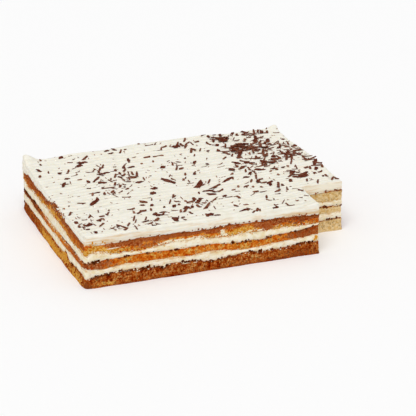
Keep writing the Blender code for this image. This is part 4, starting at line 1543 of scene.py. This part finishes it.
# Small flecks of cream on the sponges: layer whose upper edge they lie along, wall, start, end and number.
FLECKS = (
    ("upper_cream", "front", 2, 95, 14), ("upper_cream", "front", 95, 160, 60),
    ("upper_cream", "front", 160, 312, 34), ("bottom_sponge", "front", 20, 155, 14),
    ("bottom_sponge", "front", 200, 312, 8), ("upper_cream", "left", 5, 200, 20),
    ("middle_sponge", "left", 100, 225, 24), ("top_sponge", "left", 125, 210, 16),
    ("upper_cream", "back", 5, 375, 40), ("upper_cream", "right", 5, 220, 24),
)
ABOVE_CREAM = (0.2, 3.5)        # spans in mm in which flecks lie above a cream's upper edge,
BELOW_SPONGE = (-3.2, -0.4)     # and below a sponge's
SMEAR_SHAPES = 6
SMEAR_THICKNESS = 0.9 * MM
FLECK = Loose((1.2, 3.6), (0.9, 1.6), 0.6, 30)     # its tilt is a slant on the wall, in degrees
SMEAR_RAGGED = 0.55
SMEAR_LOBES = 2.2


def drape(shape, trees, wall, along, height, size, slant):
    """Lay a flat shape on a wall: every point goes to the wall's surface, plus its own depth."""
    points, faces = shape
    turn = math.radians(slant)
    laid = []
    for point in points:
        right = point[0] * math.cos(turn) * size[0] - point[1] * math.sin(turn) * size[1]
        up = point[0] * math.sin(turn) * size[0] + point[1] * math.cos(turn) * size[1]
        spot, _ = press_on_wall(trees, wall, along + right, height + up)
        if spot is None:
            return None
        depth = point[2] * size[2]
        laid.append((spot.x + wall.out[0] * depth, spot.y + wall.out[1] * depth, spot.z))
    return np.array(laid), faces


def model_smear(draw):
    """A ragged lump about 1 across, from a ball of three hundred and twenty faces."""
    deselect_all()
    bpy.ops.mesh.primitive_ico_sphere_add(subdivisions=3, radius=0.5)
    piece = bpy.context.object
    points = get_points(piece)
    seed = draw.uniform(0, 100)
    for point in points:
        turn = math.atan2(point[1], point[0])
        spot = Vector((math.cos(turn) * SMEAR_LOBES + seed, math.sin(turn) * SMEAR_LOBES, 0))
        reach = 1 + SMEAR_RAGGED * noise.noise(spot)
        point[:2] *= reach
    set_points(piece, points)
    return take_shape(piece)


def make_smears(colours):
    """Smears and flecks of cream drawn over the sponges by the knife."""
    draw = random.Random(SMEAR_SEED)
    trees = layer_surfaces()
    shapes = [model_smear(draw) for _ in range(SMEAR_SHAPES)]
    small = [model_crumb(draw) for _ in range(SMEAR_SHAPES)]
    laid = []
    for smear in SMEARS:
        size = (smear.long * MM, smear.broad * MM, SMEAR_THICKNESS)
        along, height = smear.along * MM, smear.height * MM
        laid.append(drape(draw.choice(shapes), trees, WALL[smear.wall], along, height, size, smear.slant))
    for layer_name, wall, start, end, number in FLECKS:
        span = ABOVE_CREAM if layer_name == "upper_cream" else BELOW_SPONGE
        for _ in range(number):
            along = draw.uniform(start, end) * MM
            height = edge_height(WALL[wall], along, layer_name) + draw.uniform(*span) * MM
            size = draw_size(draw, FLECK)
            shape, slant = draw.choice(small), draw.uniform(-FLECK.tilt, FLECK.tilt)
            laid.append(drape(shape, trees, WALL[wall], along, height, size, slant))
    kinds = [shape for shape in laid if shape is not None]
    places = [(number, Matrix.Identity(4)) for number in range(len(kinds))]
    dark, light = deepen(colours.ivory, 2.2), deepen(colours.ivory, 1.2)
    material = patchy_material("cream_smears", SMEAR_FINISH, dark, light)
    place_copies("cream_smears", kinds, places, material)


# ------------------------------------------------------------------ stage
FLOOR_SIZE = 8.0
SKY_STRENGTH = 0.6
FLOOR_SHADE = 0.96
SUN_DIRECTION = (-0.35, -0.6, 1.3)
SUN_STRENGTH = 1.5
SUN_SOFTNESS = 40       # degrees
LENS = 144.85
SENSOR_WIDTH = 36
CAMERA_PLACE = (LEFT + LEFT_BOW - 0.53377, FRONT - 1.81741, 0.87230)
CAMERA_PITCH = 22.002
CAMERA_YAW = 20.981


def make_stage():
    """Pale floor, soft studio light and the camera."""
    deselect_all()
    bpy.ops.mesh.primitive_plane_add(size=FLOOR_SIZE, location=(0, 0, 0))
    floor = bpy.context.object
    floor.name = "floor"
    material = bpy.data.materials.new("floor")
    material.use_nodes = True
    shader = material.node_tree.nodes["Principled BSDF"]
    shader.inputs["Base Color"].default_value = (FLOOR_SHADE, FLOOR_SHADE, FLOOR_SHADE, 1)
    shader.inputs["Roughness"].default_value = 0.9
    floor.data.materials.append(material)

    world = bpy.data.worlds.new("studio")
    world.use_nodes = True
    background = world.node_tree.nodes["Background"]
    background.inputs["Color"].default_value = (1, 1, 1, 1)
    background.inputs["Strength"].default_value = SKY_STRENGTH
    bpy.context.scene.world = world
    bpy.context.scene.view_settings.view_transform = "Standard"

    bpy.ops.object.light_add(type="SUN", location=SUN_DIRECTION)
    light = bpy.context.object
    light.name = "key"
    light.data.angle = math.radians(SUN_SOFTNESS)
    light.data.energy = SUN_STRENGTH
    light.rotation_euler = Vector(SUN_DIRECTION).to_track_quat("Z", "Y").to_euler()

    camera_data = bpy.data.cameras.new("camera")
    camera_data.lens = LENS
    camera_data.sensor_width = SENSOR_WIDTH
    camera = bpy.data.objects.new("camera", camera_data)
    camera.location = CAMERA_PLACE
    camera.rotation_euler = (math.radians(90 - CAMERA_PITCH), 0, -math.radians(CAMERA_YAW))
    bpy.context.scene.collection.objects.link(camera)
    bpy.context.scene.camera = camera


# ------------------------------------------------------------------ operators and panel
class CAKE_OT_stage(bpy.types.Operator):
    """Set up the pale floor, the soft light and the camera"""
    bl_idname = "cake.stage"
    bl_label = "Stage"

    def execute(self, context):
        make_stage()
        return {"FINISHED"}


class CAKE_OT_sponges(bpy.types.Operator):
    """Sculpt the three sponges"""
    bl_idname = "cake.sponges"
    bl_label = "Sponges"

    def execute(self, context):
        for sponge in SPONGES:
            make_sponge(sponge, context.scene.cake_sizes, context.scene.cake_colours)
        return {"FINISHED"}


class CAKE_OT_creams(bpy.types.Operator):
    """Sculpt the two creams between the sponges"""
    bl_idname = "cake.creams"
    bl_label = "Creams"

    def execute(self, context):
        for layer_name in CREAMS:
            make_cream(layer_name, context.scene.cake_colours)
        return {"FINISHED"}


class CAKE_OT_top_cream(bpy.types.Operator):
    """Sculpt the combed top cream"""
    bl_idname = "cake.top_cream"
    bl_label = "Top Cream"

    def execute(self, context):
        make_top_cream(context.scene.cake_sizes, context.scene.cake_colours)
        return {"FINISHED"}


class CAKE_OT_smears(bpy.types.Operator):
    """Draw smears and flecks of cream over the sponges"""
    bl_idname = "cake.smears"
    bl_label = "Smears"

    def execute(self, context):
        make_smears(context.scene.cake_colours)
        return {"FINISHED"}


class CAKE_OT_crumbs(bpy.types.Operator):
    """Scatter dark, brown and golden crumbs along the layers"""
    bl_idname = "cake.crumbs"
    bl_label = "Crumbs"

    def execute(self, context):
        make_crumbs(context.scene.cake_colours)
        return {"FINISHED"}


class CAKE_OT_chocolate(bpy.types.Operator):
    """Scatter the chocolate on the top cream"""
    bl_idname = "cake.chocolate"
    bl_label = "Chocolate"

    def execute(self, context):
        make_chocolate(context.scene.cake_sizes, context.scene.cake_colours)
        return {"FINISHED"}


class CAKE_PT_sidebar(bpy.types.Panel):
    """Sizes, colours and operators of the layer cake"""
    bl_label = "Layer Cake"
    bl_space_type = "VIEW_3D"
    bl_region_type = "UI"
    bl_category = "Layer Cake"

    def draw(self, context):
        for group in (context.scene.cake_sizes, context.scene.cake_colours):
            box = self.layout.box()
            for name in group.bl_rna.properties.keys():
                if name not in ("rna_type", "name"):
                    box.prop(group, name)
        for operator in OPERATORS:
            self.layout.operator(operator.bl_idname)


OPERATORS = (
    CAKE_OT_stage, CAKE_OT_sponges, CAKE_OT_creams, CAKE_OT_top_cream,
    CAKE_OT_smears, CAKE_OT_crumbs, CAKE_OT_chocolate,
)
CLASSES = (CakeSizes, CakeColours, *OPERATORS, CAKE_PT_sidebar)


def register():
    for cls in CLASSES:
        bpy.utils.register_class(cls)
    bpy.types.Scene.cake_sizes = bpy.props.PointerProperty(type=CakeSizes)
    bpy.types.Scene.cake_colours = bpy.props.PointerProperty(type=CakeColours)


def unregister():
    del bpy.types.Scene.cake_colours
    del bpy.types.Scene.cake_sizes
    for cls in reversed(CLASSES):
        bpy.utils.unregister_class(cls)


def main():
    register()
    bpy.ops.cake.stage()
    bpy.ops.cake.sponges()
    bpy.ops.cake.creams()
    bpy.ops.cake.top_cream()
    bpy.ops.cake.smears()
    bpy.ops.cake.crumbs()
    bpy.ops.cake.chocolate()
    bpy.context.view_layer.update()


if __name__ == "__main__":
    main()
